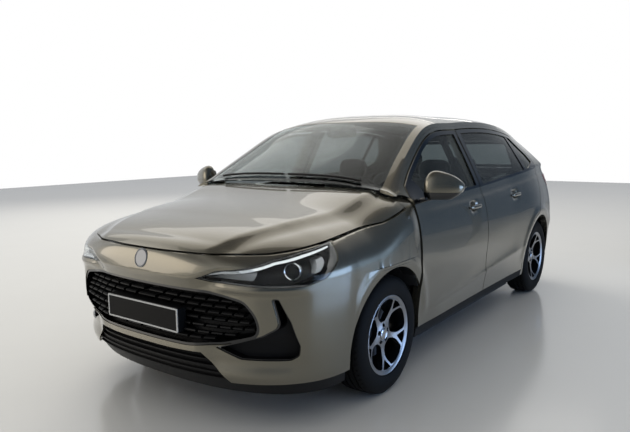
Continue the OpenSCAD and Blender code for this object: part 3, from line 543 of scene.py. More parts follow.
BUMPER_R = [(TAIL - 0.2, 0.1), (REAR - 0.1, 0.1), (REAR - ARCH_R * 0.86, TYRE_R + ARCH_R * 0.62), (CORNER_R, 0.69), (TAIL - 0.2, 0.69)]
TAIL_LAMP = [(CORNER_R + 0.02, 1.0), (TAIL - 0.1, 1.03), (TAIL - 0.1, 0.88), (CORNER_R - 0.04, 0.9)]
GATE = [(-0.47, 0.64), (0.47, 0.64), (0.6, 0.8), (0.6, 1.01), (0.545, 1.18), (0.52, 1.5), (-0.52, 1.5), (-0.545, 1.18),
        (-0.6, 1.01), (-0.6, 0.8)]
side = lambda outline, y0=0.25, y1=1.0: prism(outline, y0, y1, "side")

# %% Doors with their trim
for where, outline, window, x0, x1 in (("front", FRONT_DOOR, FRONT_WINDOW, SPLIT - 0.02, DOOR_F + 0.02),
                                      ("rear", REAR_DOOR, REAR_WINDOW, REAR - 0.16, SPLIT + 0.02)):
    body = "{}_" + where + "_door_body"
    both("{}_" + where + "_door_skin", shell("door", side_grid(x0, x1, 0.215, 1.44), 0.05), paint, body,
         [side(outline)], [side(window)], ["{}_" + where + "_door"])
    both("{}_" + where + "_window", shell("window", side_grid(x0, x1, 0.94, 1.44, 0.02), 0.004, 0.006),
         glass if where == "front" else dark_glass, body, [side(window)], [], ["{}_" + where + "_glass"])
    top = [(x1 + 0.1, 1.6), (x0 - 0.1, 1.6)] + [(x, belt(x) - 0.016) for x in np.linspace(x0 - 0.1, x1 + 0.1, 12)]
    frame_piece = shell("frame", side_grid(x0, x1, 0.93, 1.44, 0.014), 0.006, -0.0012)
    both("{}_" + where + "_window_frame", frame_piece, gloss_black, body, [side(grow(outline, -0.001)), side(top)],
         [side(window)])
    if where == "rear":
        bar = [(REAR + 0.215, belt(REAR + 0.215) - 0.01), (REAR + 0.180, belt(REAR + 0.18) - 0.01), (REAR + 0.205, 1.40), (REAR + 0.240, 1.40)]
        both("{}_rear_window_divider", shell("divider", side_grid(x0, x1, 0.93, 1.44, 0.02), 0.012, 0.001), gloss_black, body,
             [side(bar), side(grow(window, 0.004))])
    hx, hz = HANDLES[0 if where == "front" else 1]
    seat_y = float(side_y(hx, hz, False))
    u, v = mesh_grid(np.linspace(0, 2 * np.pi, 33), np.linspace(-1, 1, 25))
    bar = np.stack([hx + 0.094 * v, seat_y + 0.016 - 0.012 * np.abs(v) ** 6 + 0.0075 * np.cos(u) * (1 - np.abs(v) ** 8),
                    hz + 0.0125 * np.sin(u) * (1 - np.abs(v) ** 8) ** 0.5], -1)
    made = bmesh.new()
    ring = [[made.verts.new(q) for q in row[:-1]] for row in bar]
    for a, b in zip(ring[:-1], ring[1:]):
        for i in range(32):
            made.faces.new([a[i], a[(i + 1) % 32], b[(i + 1) % 32], b[i]])
    mesh = bpy.data.meshes.new("bar")
    bmesh.ops.recalc_face_normals(made, faces=made.faces)
    made.to_mesh(mesh)
    made.free()
    both("{}_" + where + "_handle", outward(mesh), paint, body)
    feet = bmesh.new()
    for dx in (-0.078, 0.078):
        bmesh.ops.create_cube(feet, size=1, matrix=Matrix.Translation((hx + dx, seat_y - 0.004, hz)) @ Matrix.Diagonal((0.022, 0.034, 0.014, 1)))
    mesh = bpy.data.meshes.new("feet")
    feet.to_mesh(mesh)
    feet.free()
    both("{}_" + where + "_handle_feet", mesh, gloss_black, body)
    print("door", where)

# %% Side wall round the doors
s, z = mesh_grid(np.linspace(0, 1.93, 180), np.linspace(0.215, 1.44, 92))
x = 0.935 + (CORNER_R - 0.935) * np.minimum(s, 1)
along = np.stack([x, side_y(x, z), z], -1)
wall = np.where((s <= 1)[..., None], along, tail_pt(2 - s, z))
roof_cut = rail_pts(TAIL - 0.06, ROOF_END - 0.004, 8, 0) + rail_pts(ROOF_END, COWL - 0.06, 30, 0.0246)
roof_cut += [(FRONT, 1.6), (TAIL - 0.06, 1.6)]
front_cut = [(DOOR_F + 0.004, 0), (FRONT, 0), (FRONT, 1.04), (DOOR_F + 0.04, 1.012), (DOOR_F + 0.004, 0.99)]
split_cut = [(SPLIT - 0.014, 0.275), (SPLIT + 0.03, 0.275), (SPLIT + 0.03, 1.33), (SPLIT - 0.014, 1.33)]
both("{}_side_wall", shell("wall", wall, 0.05), paint, "body", [],
     [side(grow(FRONT_DOOR, GAP), 0.2), side(grow(REAR_DOOR, GAP), 0.2), side(circle(REAR, TYRE_R, ARCH_R), 0.2),
      side(split_cut, 0.2), side(roof_cut, 0.2), side(front_cut, 0.2), side(grow(BUMPER_R, 0.001), 0.0),
      side(circle(FRONT, TYRE_R, 0.374), 0.2), side(grow(TAIL_LAMP, 0.001), 0.0),
      prism(grow(GATE, GAP), TAIL - 0.1, ROOF_END, "front")], ["{}_body_side"])
print("side walls")

# %% [markdown]
# ## Roof, windscreen and bonnet
# The roof panel carries the windscreen pillars, as a pressed side frame does. The
# windscreen gets a printed black border and a sensor housing at its top.

# %% Roof and windscreen
xs = np.linspace(COWL - 0.06, ROOF_END, 150)
v = np.linspace(-1, 1, 73)
top = np.stack([roof_pt(xs, w) for w in v])
edge_z = curve(RAIL_Z, xs) - 0.024
edge = np.stack([xs, side_y(xs, edge_z), edge_z], -1)
outer = np.concatenate([(edge * [1, -1, 1])[None], top, edge[None]])
inner = sunk(top, 0.018)
inner_edge = edge - [0, 0.02, 0]
inner = np.concatenate([(inner_edge * [1, -1, 1])[None], inner, inner_edge[None]])
SCREEN = [(x, float(curve(RAIL_Y, x)) - 0.052) for x in np.linspace(COWL - 0.04, HEADER, 24)]
SCREEN += [(x, -y) for x, y in SCREEN[::-1]]
one("roof_panel", slab("roof", outer, inner), paint, "body", [], [prism(grow(SCREEN, 0.001), 0, 1.6, "plan")], ["roof"])
screen_grid = np.stack([roof_pt(np.linspace(COWL - 0.02, HEADER - 0.04, 60), w) for w in np.linspace(-1, 1, 61)])
one("windscreen_glass", shell("screen", screen_grid, 0.005, 0.001), glass, "body", [prism(SCREEN, 0, 1.6, "plan")], [], ["windscreen"])
inside = grow(SCREEN, -0.028)
one("windscreen_border", shell("border", screen_grid, 0.0012, 0.0065), satin_black, "body",
    [prism(grow(SCREEN, -0.001), 0, 1.6, "plan")], [prism(inside, 0, 1.6, "plan")])
sensor = [(0.262, -0.09), (0.262, 0.09), (0.34, 0.08), (0.40, 0.035), (0.40, -0.035), (0.34, -0.08)]
one("sensor_housing", shell("sensor", screen_grid, 0.035, 0.008), satin_black, "body", [prism(soft(sensor, 0.03), 0, 1.6, "plan")])

# %% Bonnet
v = np.linspace(-1, 1, 111)
xs = np.linspace(NOSE - 0.03, COWL - 0.06, 110)
x, v = mesh_grid(xs, v)
y = np.sin(np.pi / 2 * v) * deck_w(x) * 0.995
deck = meet_door(np.stack([x, y, deck_z(x, y)], -1))
BONNET_LINE = [(DOOR_F + 0.06, 1.3), (DOOR_F + 0.06, 0.968), (FRONT, 0.9), (CORNER_F + 0.06, 0.86), (NOSE - 0.2, 0.826),
               (NOSE + 0.04, 0.815), (NOSE + 0.04, 1.3)]
one("bonnet_panel", shell("bonnet", deck, 0.018), paint, "bonnet", [side(BONNET_LINE, -1.0)], [], ["bonnet"])
print("roof and bonnet")

# %% [markdown]
# ## Wings, front bumper, grille and lamps
# The nose is one skin in the construction model. Here its openings follow the
# photograph: a wide six-sided grille, L-shaped air inlets outboard of it, a lower
# opening between body-coloured winglets, and slim lamps that sweep back over the wings.

# %% Outlines of the nose
LAMP = [(2.022, 0.712), (1.995, 0.748), (1.86, 0.803), (1.745, 0.827), (1.565, 0.85), (1.618, 0.782), (1.705, 0.716),
        (1.79, 0.690), (1.91, 0.690), (1.99, 0.698)]
HEX = [(-0.40, 0.655), (0.40, 0.655), (0.585, 0.625), (0.635, 0.565), (0.65, 0.505), (0.635, 0.462), (0.48, 0.418),
       (0.3, 0.396), (-0.3, 0.396), (-0.48, 0.418), (-0.635, 0.462), (-0.65, 0.505), (-0.635, 0.565), (-0.585, 0.625)]
HEX = soft(HEX, 0.03)
INLET = [(0.694, 0.640), (0.720, 0.640), (0.757, 0.535), (0.777, 0.42), (0.770, 0.372), (0.738, 0.350), (0.55, 0.352),
         (0.435, 0.400), (0.655, 0.474), (0.708, 0.508), (0.714, 0.53)]
INLET = soft(INLET, 0.012)
LOWER = [(-0.52, 0.20), (-0.50, 0.236), (-0.37, 0.372), (-0.2, 0.368), (0.2, 0.368), (0.37, 0.372), (0.50, 0.236), (0.52, 0.20)]
nose = lambda outline, x0=CORNER_F: prism(outline, x0, NOSE + 0.1, "front")
flip = lambda outline: [(-y, z) for y, z in outline]

# %% Wings
wing = front_grid(0.6, 1.62, 0.1, 1.7, 96, 116, pressed=False)
wing_line = [(DOOR_F + 0.005, 0.215), (FRONT - 0.3, 0.215), (FRONT, 0.64), (FRONT + 0.25, 0.64), (CORNER_F + 0.095, 0.7),
             (CORNER_F + 0.06, 0.846), (FRONT, 0.892), (COWL - 0.064, 0.945), (COWL - 0.064, 1.04), (DOOR_F + 0.005, 1.02)]
corner = [(DOOR_F - 0.05, 0.0), (COWL - 0.045, 0.0), (COWL - 0.045, 0.724), (DOOR_F - 0.05, 0.724)]
both("{}_wing", shell("wing", wing, 0.014), paint, "body", [side(wing_line, 0.0)],
     [side(circle(FRONT, TYRE_R, ARCH_R), 0.2), prism(corner, 0.98, 1.2, "plan")], ["{}_fender"])

# %% Front bumper
cover = front_grid(-1.2, 1.2, 0, 1.45, 320, 118)
above = [(CORNER_F + 0.0955, 0.6995), (FRONT + 0.25, 0.6395), (FRONT, 0.6395), (FRONT, 1.0), (CORNER_F + 0.06, 1.0),
         (NOSE + 0.05, 1.0), (NOSE + 0.05, 0.807), (NOSE - 0.2, 0.818), (CORNER_F + 0.06, 0.852)]
chin = [(FRONT, 0.1), (NOSE + 0.1, 0.1), (NOSE + 0.1, 0.236), (CORNER_F + 0.3, 0.240), (CORNER_F, 0.236), (FRONT, 0.226)]
drops = [prism(circle(FRONT, TYRE_R, ARCH_R), -1, 1, "side"), prism(grow(LAMP, 0.002), -1, 1, "side"),
         prism(above, -1, 1, "side"), prism(chin, -1, 1, "side"), nose(grow(HEX, 0.001)), nose(INLET), nose(flip(INLET)), nose(LOWER)]
one("front_bumper_cover", shell("cover", cover, 0.012), paint, "body", [], drops, ["front_bumper"])
one("front_lip", shell("lip", front_grid(-1.16, 1.16, -0.14, 0.2, 260, 24), 0.016, 0.022), satin_black, "body",
    [prism([(FRONT, 0.16), (NOSE, 0.16), (NOSE, 0.30), (FRONT, 0.30)], -1, 1, "side")],
    [prism(circle(FRONT, TYRE_R, ARCH_R), -1, 1, "side")], ["skirts"])
print("bumper")

# %% Grille, inlets and number plate
back = front_grid(-0.85, 0.85, 0.1, 1.0, 150, 60)
one("grille_back", shell("back", back, 0.006, 0.058), satin_black, "body", [nose(grow(HEX, 0.012))], [], ["grille"])


def strip(outline_in, outline_out, depth, thick):
    return shell("strip", back, thick, depth), [nose(outline_out)], [nose(outline_in)]


mesh, keep, drop = strip(grow(HEX, -0.012), HEX, 0.004, 0.05)
one("grille_surround", mesh, gloss_black, "body", keep, drop)
inside_hex = np.array(grow(HEX, -0.012))


def within(outline, y, z):
    """Tells which points lie inside an outline."""
    a, b = np.array(outline), np.roll(np.array(outline), -1, 0)
    crossing = ((a[:, 1] > z[..., None]) != (b[:, 1] > z[..., None]))
    at = (b[:, 0] - a[:, 0]) * (z[..., None] - a[:, 1]) / (b[:, 1] - a[:, 1] + 1e-12) + a[:, 0]
    return ((y[..., None] < at) & crossing).sum(-1) % 2 == 1


verts, faces = [], []
for row in range(9):
    z_row = 0.412 + row * 0.0285
    r_row = (z_row - 0.225) / (WAIST - 0.225)
    for col in range(-15, 16):
        s_mid = col * 0.058 + (row % 2) * 0.029
        s = s_mid + np.array([-0.023, 0, 0.023])
        r = r_row + np.array([-1, -0.35, 0.35, 1]) * 0.0075 / 0.465
        s, r = mesh_grid(s, r)
        p = press_nose(front_pt(s, r))
        if not within(inside_hex, p[..., 1], p[..., 2]).all():
            continue
        outer = sunk(p, 0.018)
        outer[1:3] = sunk(p, 0.010)[1:3]
        tilt = slab("bar", outer, sunk(p, 0.05))
        base = sum(len(q) for q in verts)
        verts.append(np.array([w.co[:] for w in tilt.vertices]))
        faces += [[i + base for i in f.vertices] for f in tilt.polygons]
        bpy.data.meshes.remove(tilt)
one("grille_bars", mesh_of("bars", np.concatenate(verts), faces), satin_black, "body", angle=30)
both("{}_inlet_back", shell("inlet", front_grid(0.3, 1.15, 0.1, 1.0, 90, 60), 0.006, 0.04), grained, "body", [nose(grow(INLET, 0.01))])
both("{}_inlet_edge", shell("edge", front_grid(0.3, 1.15, 0.1, 1.0, 90, 60), 0.038, 0.006), gloss_black, "body",
     [nose(INLET)], [nose(grow(INLET, -0.006))])
one("lower_intake", shell("lower", front_grid(-0.7, 0.7, 0.0, 0.5, 150, 40), 0.006, 0.03), grained, "body", [nose(grow(LOWER, 0.01))])
for row in range(4):
    z_row = 0.245 + row * 0.03
    ribs = shell("rib", front_grid(-0.5, 0.5, (z_row - 0.003 - 0.225) / 0.465, (z_row + 0.003 - 0.225) / 0.465, 80, 3), 0.02, 0.012)
    one(f"lower_rib_{row}", ribs, satin_black, "body", [nose(grow(LOWER, 0.004))])

PLATE_X, PLATE_Z = NOSE - 0.004, 0.505


def plate(name, width, height, x0, x1, z, material, body="body", hole=None):
    outline = soft([(-width / 2, z - height / 2), (width / 2, z - height / 2), (width / 2, z + height / 2), (-width / 2, z + height / 2)], 0.008)
    drop = [prism(hole, x0 - 0.01, x1 + 0.01, "front")] if hole else []
    return one(name, prism(outline, x0, x1, "front"), material, body, [], drop)


frame_hole = [(-0.252, PLATE_Z - 0.049), (0.252, PLATE_Z - 0.049), (0.252, PLATE_Z + 0.049), (-0.252, PLATE_Z + 0.049)]
plate("front_plate_holder", 0.526, 0.118, PLATE_X - 0.05, PLATE_X - 0.003, PLATE_Z, satin_black)
plate("front_plate", 0.516, 0.108, PLATE_X - 0.003, PLATE_X, PLATE_Z, plate_black)
plate("front_plate_border", 0.520, 0.112, PLATE_X - 0.003, PLATE_X + 0.0015, PLATE_Z, plate_pale, hole=frame_hole)
print("grille bars", len(verts))

# %% [markdown]
# ## Headlamps
# Each lamp has a clear lens, a black bowl behind it, a bright strip that follows the
# upper edge, a projector in a ring, and bright reflectors beside it.

# %% Headlamp pieces
lamp_grid = front_grid(0.2, 1.1, 0.8, 1.6, 120, 96)
lamp_side = lambda outline: prism(outline, 0.0, 1.0, "side")
both("{}_headlamp_lens", shell("lens", lamp_grid, 0.003, 0.0005), lens, "body", [lamp_side(LAMP)])
both("{}_headlamp_bowl", shell("bowl", lamp_grid, 0.004, 0.06), satin_black, "body", [lamp_side(grow(LAMP, -0.001))])
both("{}_headlamp_rim", shell("rim", lamp_grid, 0.058, 0.0045), gloss_black, "body", [lamp_side(LAMP)], [lamp_side(grow(LAMP, -0.006))])
upper = [(2.008, 0.724), (1.975, 0.746), (1.86, 0.790), (1.745, 0.813), (1.59, 0.836), (1.60, 0.829), (1.745, 0.804), (1.86, 0.781), (1.968, 0.737)]
both("{}_headlamp_strip", shell("strip", lamp_grid, 0.012, 0.010), chrome, "body", [lamp_side(upper)])
panel = [(1.66, 0.795), (1.70, 0.787), (1.735, 0.735), (1.71, 0.742), (1.67, 0.775)]
both("{}_headlamp_reflector", shell("reflector", lamp_grid, 0.02, 0.022), steel, "body", [lamp_side(panel)])
panel = [(1.905, 0.75), (1.95, 0.735), (1.975, 0.712), (1.92, 0.712)]
both("{}_headlamp_inner", shell("reflector", lamp_grid, 0.02, 0.026), steel, "body", [lamp_side(panel)])


def lathe(name, profile, centre, direction, n=48):
    """A solid turned round an axis. The profile is a list of (radius, distance along the axis)."""
    turn = np.linspace(0, 2 * np.pi, n, endpoint=False)
    p = np.array(profile, float)
    made = bmesh.new()
    z = Vector(direction).normalized()
    side_way = z.orthogonal().normalized()
    up = z.cross(side_way)
    rings = []
    for r, h in p:
        if r < 1e-6:
            rings.append([made.verts.new(Vector(centre) + z * h)])
        else:
            rings.append([made.verts.new(Vector(centre) + z * h + side_way * r * math.cos(a) + up * r * math.sin(a)) for a in turn])
    for a, b in zip(rings, rings[1:] + rings[:1]):
        if len(a) == 1 and len(b) == 1:
            continue
        for i in range(n):
            j = (i + 1) % n
            ring = [a[i % len(a)], a[j % len(a)], b[j % len(b)], b[i % len(b)]]
            ring = list(dict.fromkeys(ring))
            if len(ring) > 2:
                made.faces.new(ring)
    bmesh.ops.recalc_face_normals(made, faces=made.faces)
    mesh = bpy.data.meshes.new(name)
    made.to_mesh(mesh)
    made.free()
    return outward(mesh)


at, way = (1.772, 0.722, 0.745), (0.93, 0.3, 0.05)
both("{}_projector_ring", lathe("ring", [(0.034, 0.0), (0.038, 0.0), (0.039, 0.03), (0.037, 0.033), (0.034, 0.03)], at, way), chrome, "body")
both("{}_projector_lens", lathe("eye", [(0, -0.005), (0.033, -0.005), (0.033, 0.01), (0.027, 0.022), (0.014, 0.029), (0, 0.031)], at, way), lens, "body")
both("{}_projector_can", lathe("can", [(0, -0.03), (0.028, -0.03), (0.030, -0.006), (0, -0.006)], at, way), satin_black, "body")
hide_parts("headlamp_units")
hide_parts("headlamp_lenses")
one("round_badge", lathe("badge", [(0, -0.012), (0.046, -0.012), (0.046, 0.004), (0.041, 0.007), (0.038, 0.0045), (0, 0.0045)],
    (NOSE - 0.020, 0, 0.768), (1, 0, 0.28)), steel, "body")
print("lamps")

# %% [markdown]
# ## The back of the car
# The photograph shows little of the back: a lip spoiler and the corner of a red lamp.
# The rest follows what such a car needs: a lifting tailgate with a heated window and
# a wiper, wrap-round lamps, and a bumper with a black lower part and reflectors.

# %% Tailgate, rear bumper and tail lamps
t, z = mesh_grid(np.linspace(-1, 1, 141), np.linspace(0.6, 1.43, 84))
gate = tail_pt(t, z)
gate[..., 0] -= 0.010 * np.exp(-(((z - 1.0) / 0.02) ** 2)) * smooth((0.62 - np.abs(gate[..., 1])) / 0.05)
dish = smooth((0.30 - np.abs(gate[..., 1])) / 0.03) * smooth((z - 0.70) / 0.02) * smooth((0.86 - z) / 0.02)
gate[..., 0] += 0.016 * dish
REAR_GLASS = [(-0.5, 1.045), (0.5, 1.045), (0.455, 1.3), (-0.455, 1.3)]
REAR_GLASS = soft(REAR_GLASS, 0.05)
xs = np.linspace(REAR - 0.1, TAIL - 0.03, 30)
wide = np.linspace(-1.4, 1.4, 57)
under = np.stack([roof_pt(xs, min(max(w, -1), 1)) + [0, (w - min(max(w, -1), 1)) * 0.5, 0] for w in wide])
roof_space = slab("space", under - [0, 0, 0.012], np.where([True, True, False], under, 0.5))
one("tailgate_skin", shell("gate", gate, 0.04), paint, "tailgate", [prism(GATE, TAIL - 0.1, ROOF_END, "front"), roof_space],
    [prism(grow(REAR_GLASS, 0.001), TAIL - 0.1, REAR - 0.25, "front")], ["tailgate"])
xs = np.linspace(ROOF_END - GAP, TAIL + 0.25, 40)
wide = np.linspace(-0.93, 0.93, 81)
over = np.stack([roof_pt(xs, w) for w in wide])
drop = 0.046 - 0.032 * smooth((ROOF_END - xs) / (ROOF_END - TAIL - 0.25))
one("roof_spoiler", slab("spoiler", over, over - np.stack([0 * drop, 0 * drop, drop], -1)), paint, "tailgate")
t, z = mesh_grid(np.linspace(-1, 1, 91), np.linspace(1.0, 1.34, 40))
back_glass = tail_pt(t, z)
one("rear_window", shell("rear", back_glass, 0.004, 0.001), dark_glass, "tailgate", [prism(REAR_GLASS, TAIL - 0.1, REAR - 0.25, "front")], [], ["tailgate_glass"])
one("rear_window_border", shell("border", back_glass, 0.0012, 0.006), satin_black, "tailgate",
    [prism(grow(REAR_GLASS, -0.001), TAIL - 0.1, REAR - 0.25, "front")], [prism(grow(REAR_GLASS, -0.03), TAIL - 0.1, REAR - 0.25, "front")])
badge_x = float(tail_pt(np.array(0.0), np.array(0.93))[0])
one("rear_round_badge", lathe("badge", [(0, -0.01), (0.04, -0.01), (0.04, 0.003), (0.035, 0.006), (0.032, 0.004), (0, 0.004)],
    (badge_x, 0, 0.93), (-1, 0, 0.1)), chrome, "tailgate")
plate("rear_plate", 0.516, 0.108, -2.026, -2.023, 0.775, plate_black, "tailgate")
plate("rear_plate_holder", 0.526, 0.118, -2.023, -1.99, 0.775, satin_black, "tailgate")
one("rear_wiper_pivot", lathe("pivot", [(0, -0.03), (0.022, -0.03), (0.022, 0.012), (0.012, 0.02), (0, 0.02)], (-1.943, 0.0, 1.032), (-1, 0, 0.35)), satin_black, "tailgate")


def blade(name, points, width, height, material, body):
    """A bar with a rounded section along a line of points."""
    p = [Vector(q) for q in points]
    made = bmesh.new()
    rings = []
    for i, q in enumerate(p):
        along = (p[min(i + 1, len(p) - 1)] - p[max(i - 1, 0)]).normalized()
        flat = along.cross(Vector((0, 0, 1))).normalized()
        up = flat.cross(along)
        rings.append([made.verts.new(q + flat * width / 2 * math.cos(a) + up * height / 2 * math.sin(a))
                      for a in np.linspace(0, 2 * math.pi, 12, endpoint=False)])
    for a, b in zip(rings[:-1], rings[1:]):
        for i in range(12):
            made.faces.new([a[i], a[(i + 1) % 12], b[(i + 1) % 12], b[i]])
    made.faces.new(rings[0][::-1])
    made.faces.new(rings[-1])
    bmesh.ops.recalc_face_normals(made, faces=made.faces)
    mesh = bpy.data.meshes.new(name)
    made.to_mesh(mesh)
    made.free()
    return one(name, outward(mesh), material, body)


tail_at = lambda y, z, out: tuple(tail_pt(np.array(2 / math.pi * math.asin(min((abs(y) / float(side_y(CORNER_R, z))) ** 1.25, 1)) * np.sign(y)), np.array(z)) - np.array([out, 0, 0]))
blade("rear_wiper_arm", [tail_at(y, 1.035 + 0.02 * y, 0.014) for y in np.linspace(0.0, 0.3, 8)], 0.014, 0.01, satin_black, "tailgate")

t, z = mesh_grid(np.linspace(-1.36, 1.36, 200), np.linspace(0.3, 0.6896, 44))
flank = CORNER_R + (np.abs(t) - 1)
rear = np.where((np.abs(t) <= 1)[..., None], tail_pt(np.clip(t, -1, 1), z), np.stack([flank, np.sign(t) * side_y(flank, z), z], -1))
one("rear_bumper_cover", shell("rear", rear, 0.012), paint, "body", [prism(BUMPER_R, -1.1, 1.1, "side")],
    [prism(circle(REAR, TYRE_R, ARCH_R), -1.1, 1.1, "side"), prism(grow(GATE, GAP), TAIL - 0.1, ROOF_END, "front")], ["rear_bumper"])
t, z = mesh_grid(np.linspace(-0.97, 0.97, 200), np.linspace(0.2, 0.42, 30))
low = tail_pt(t, z)
valance = [(-0.95, 0.2), (0.95, 0.2), (0.80, 0.30), (0.62, 0.37), (0.45, 0.405), (-0.45, 0.405), (-0.62, 0.37), (-0.80, 0.30)]
one("rear_valance", shell("valance", low, 0.016, -0.0015), grained, "body", [prism(valance, TAIL - 0.1, REAR, "front")])
for row in range(3):
    z0 = 0.245 + 0.045 * row
    t, z = mesh_grid(np.linspace(-0.36, 0.36, 60), np.linspace(z0, z0 + 0.012, 3))
    one(f"rear_valance_rib_{row}", shell("rib", tail_pt(t, z), 0.01, -0.002), satin_black, "body")
both("{}_rear_reflector", shell("reflector", tail_pt(*mesh_grid(np.linspace(0.55, 0.70, 20), np.linspace(0.425, 0.45, 5))), 0.006, -0.0015), red_lens, "body")
s, z = mesh_grid(np.linspace(0.5, 1.95, 120), np.linspace(0.84, 1.08, 40))
x = REAR + (CORNER_R - REAR) * np.minimum(s, 1)
lamp = np.where((s <= 1)[..., None], np.stack([x, side_y(x, z), z], -1), tail_pt(2 - s, z))
gate_drop = prism(grow(GATE, GAP), TAIL - 0.1, ROOF_END, "front")
left_lamp, right_lamp = both("{}_tail_lamp", shell("lamp", lamp, 0.008, -0.002), red_lens, "body", [side(TAIL_LAMP, 0.0)], [gate_drop])
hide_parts("tail_lamps")
both("{}_tail_lamp_body", shell("body", lamp, 0.03, 0.009), satin_black, "body", [side(grow(TAIL_LAMP, -0.002), 0.0)],
     [prism(grow(GATE, GAP), TAIL - 0.1, ROOF_END, "front")])
strip_line = [(CORNER_R - 0.03, 0.955), (TAIL - 0.1, 0.975), (TAIL - 0.1, 0.96), (CORNER_R - 0.03, 0.94)]
both("{}_tail_lamp_guide", shell("guide", lamp, 0.004, -0.0035), chrome, "body", [side(strip_line, 0.0)],
     [prism(grow(GATE, GAP), TAIL - 0.1, ROOF_END, "front")])
print("back")

# %% [markdown]
# ## Wheels
# Each wheel has a turned barrel, a dished face with five spokes that fork towards the
# rim, windows cut through it, a bright machined face over black pockets, and a tyre
# whose grooves and blocks are cut into a turned section.

# %% Rims
def windows(shape):
    return [[(c * math.cos(a) - s * math.sin(a), c * math.sin(a) + s * math.cos(a)) for c, s in shape]
            for a in (math.radians(k * 72 + 90) for k in range(5))]


turned = lambda shape, deg: [(c * math.cos(math.radians(deg)) - s * math.sin(math.radians(deg)),
                              c * math.sin(math.radians(deg)) + s * math.cos(math.radians(deg))) for c, s in shape]
FORK = soft([(0.138, 0.0), (0.181, -0.037), (0.1875, 0.0), (0.181, 0.037)], 0.005)
LONG = soft([(0.064, -0.021), (0.064, 0.021), (0.082, 0.0425), (0.108, 0.0610), (0.130, 0.0665), (0.168, 0.0640),
             (0.1790, 0.0480), (0.1865, 0.018), (0.1865, -0.018), (0.1790, -0.0480), (0.168, -0.0640), (0.130, -0.0665),
             (0.108, -0.0610), (0.082, -0.0425)], 0.008)
POCKET = soft([(0.037, -0.011), (0.037, 0.011), (0.052, 0.013), (0.0585, 0.0), (0.052, -0.013)], 0.004)


def wheel_prisms(shape, deg, lo, hi):
    """Prisms through a wheel that faces +Y, one for each of the five spokes."""
    out = []
    for outline in windows(turned(shape, deg)):
        mesh = prism(outline, lo, hi, "plan")
        out.append(mesh)
    return out


def joined(meshes):
    verts, faces, base = [], [], 0
    for mesh in meshes:
        verts += [v.co[:] for v in mesh.vertices]
        faces += [[i + base for i in f.vertices] for f in mesh.polygons]
        base += len(mesh.vertices)
        bpy.data.meshes.remove(mesh)
    return mesh_of("joined", verts, faces)


face = [(0.0, 0.030), (0.030, 0.030), (0.060, 0.024), (0.100, 0.020), (0.150, 0.032), (0.188, 0.046), (0.1895, 0.050), (0.1895, 0.078),
        (0.186, 0.080), (0.160, 0.069), (0.120, 0.056), (0.085, 0.051), (0.060, 0.052), (0.040, 0.058), (0.036, 0.055), (0.0, 0.055)]
barrel = [(0.1885, -0.080), (0.2030, -0.086), (0.2095, -0.086), (0.2095, -0.078), (0.2025, -0.074), (0.1985, -0.03), (0.1985, 0.05), (0.2025, 0.074),
          (0.2095, 0.078), (0.2095, 0.086), (0.2050, 0.088), (0.1960, 0.084), (0.1880, 0.076), (0.1880, -0.074)]
spoked = link("spoked", lathe("face", face, (0, 0, 0), (0, 0, 1), 180))
cut(spoked, [], [joined(wheel_prisms(FORK, 0, 0.0, 0.12)), joined(wheel_prisms(LONG, 36, 0.0, 0.12)),
                 joined(wheel_prisms(POCKET, 36, 0.044, 0.12))])
ring = link("ring", lathe("barrel", barrel, (0, 0, 0), (0, 0, 1), 128))
disc = link("disc", lathe("disc", [(0.064, 0.018), (0.064, -0.018), (0.13, -0.018), (0.13, 0.0), (0.074, 0.0), (0.074, 0.018)], (0, 0, 0), (0, 0, 1), 96))
hub = link("hub", lathe("cap", [(0, 0.05), (0.030, 0.05), (0.031, 0.060), (0.026, 0.0625), (0.024, 0.0615), (0, 0.0615)], (0, 0, 0), (0, 0, 1), 48))
nuts = joined([lathe("nut", [(0, 0.03), (0.0095, 0.03), (0.0095, 0.0505), (0.0055, 0.0505), (0.0055, 0.045), (0, 0.045)],
                     (0.05 * math.cos(a), 0.05 * math.sin(a), 0), (0, 0, 1), 6) for a in np.radians(np.arange(5) * 72 + 36 + 90)])
nuts = link("nuts", nuts)

# %% Tyre section and tread
section = []
for a, r in [(-0.082, 0.2035), (-0.092, 0.214), (-0.0965, 0.236), (-0.0975, 0.256), (-0.094, 0.276), (-0.086, 0.292), (-0.074, 0.3045),
             (-0.060, 0.3085), (-0.0565, 0.3088), (-0.056, 0.302), (-0.048, 0.302), (-0.0475, 0.3097), (-0.022, 0.31), (-0.0215, 0.3025),
             (-0.0125, 0.3025), (-0.012, 0.31)]:
    section.append((r, a))
section += [(r, -a) for r, a in section[::-1]]
section += [(0.2035, 0.078), (0.2005, 0.07), (0.2005, -0.07), (0.2035, -0.078)]
tyre_mesh = lathe("tyre", section, (0, 0, 0), (0, 0, 1), 144)
tyre_obj = link("tyre", tyre_mesh)
grooves = []
for k in range(60):
    a = 2 * math.pi * k / 60
    for sgn in (-1, 1):
        lo, hi = (0.064, 0.092) if sgn > 0 else (-0.092, -0.064)
        box = bmesh.new()
        turn_to = Matrix.Rotation(a + (0.02 if sgn > 0 else 0), 4, "Z")
        place = turn_to @ Matrix.Translation((0.306, 0, (lo + hi) / 2)) @ Matrix.Rotation(sgn * 0.30, 4, "X")
        bmesh.ops.create_cube(box, size=1, matrix=place @ Matrix.Diagonal((0.014, 0.0035, hi - lo, 1)))
        mesh = bpy.data.meshes.new("groove")
        box.to_mesh(mesh)
        box.free()
        grooves.append(mesh)
cut(tyre_obj, [], [joined(grooves)])
print("tyre faces", len(tyre_obj.data.polygons))


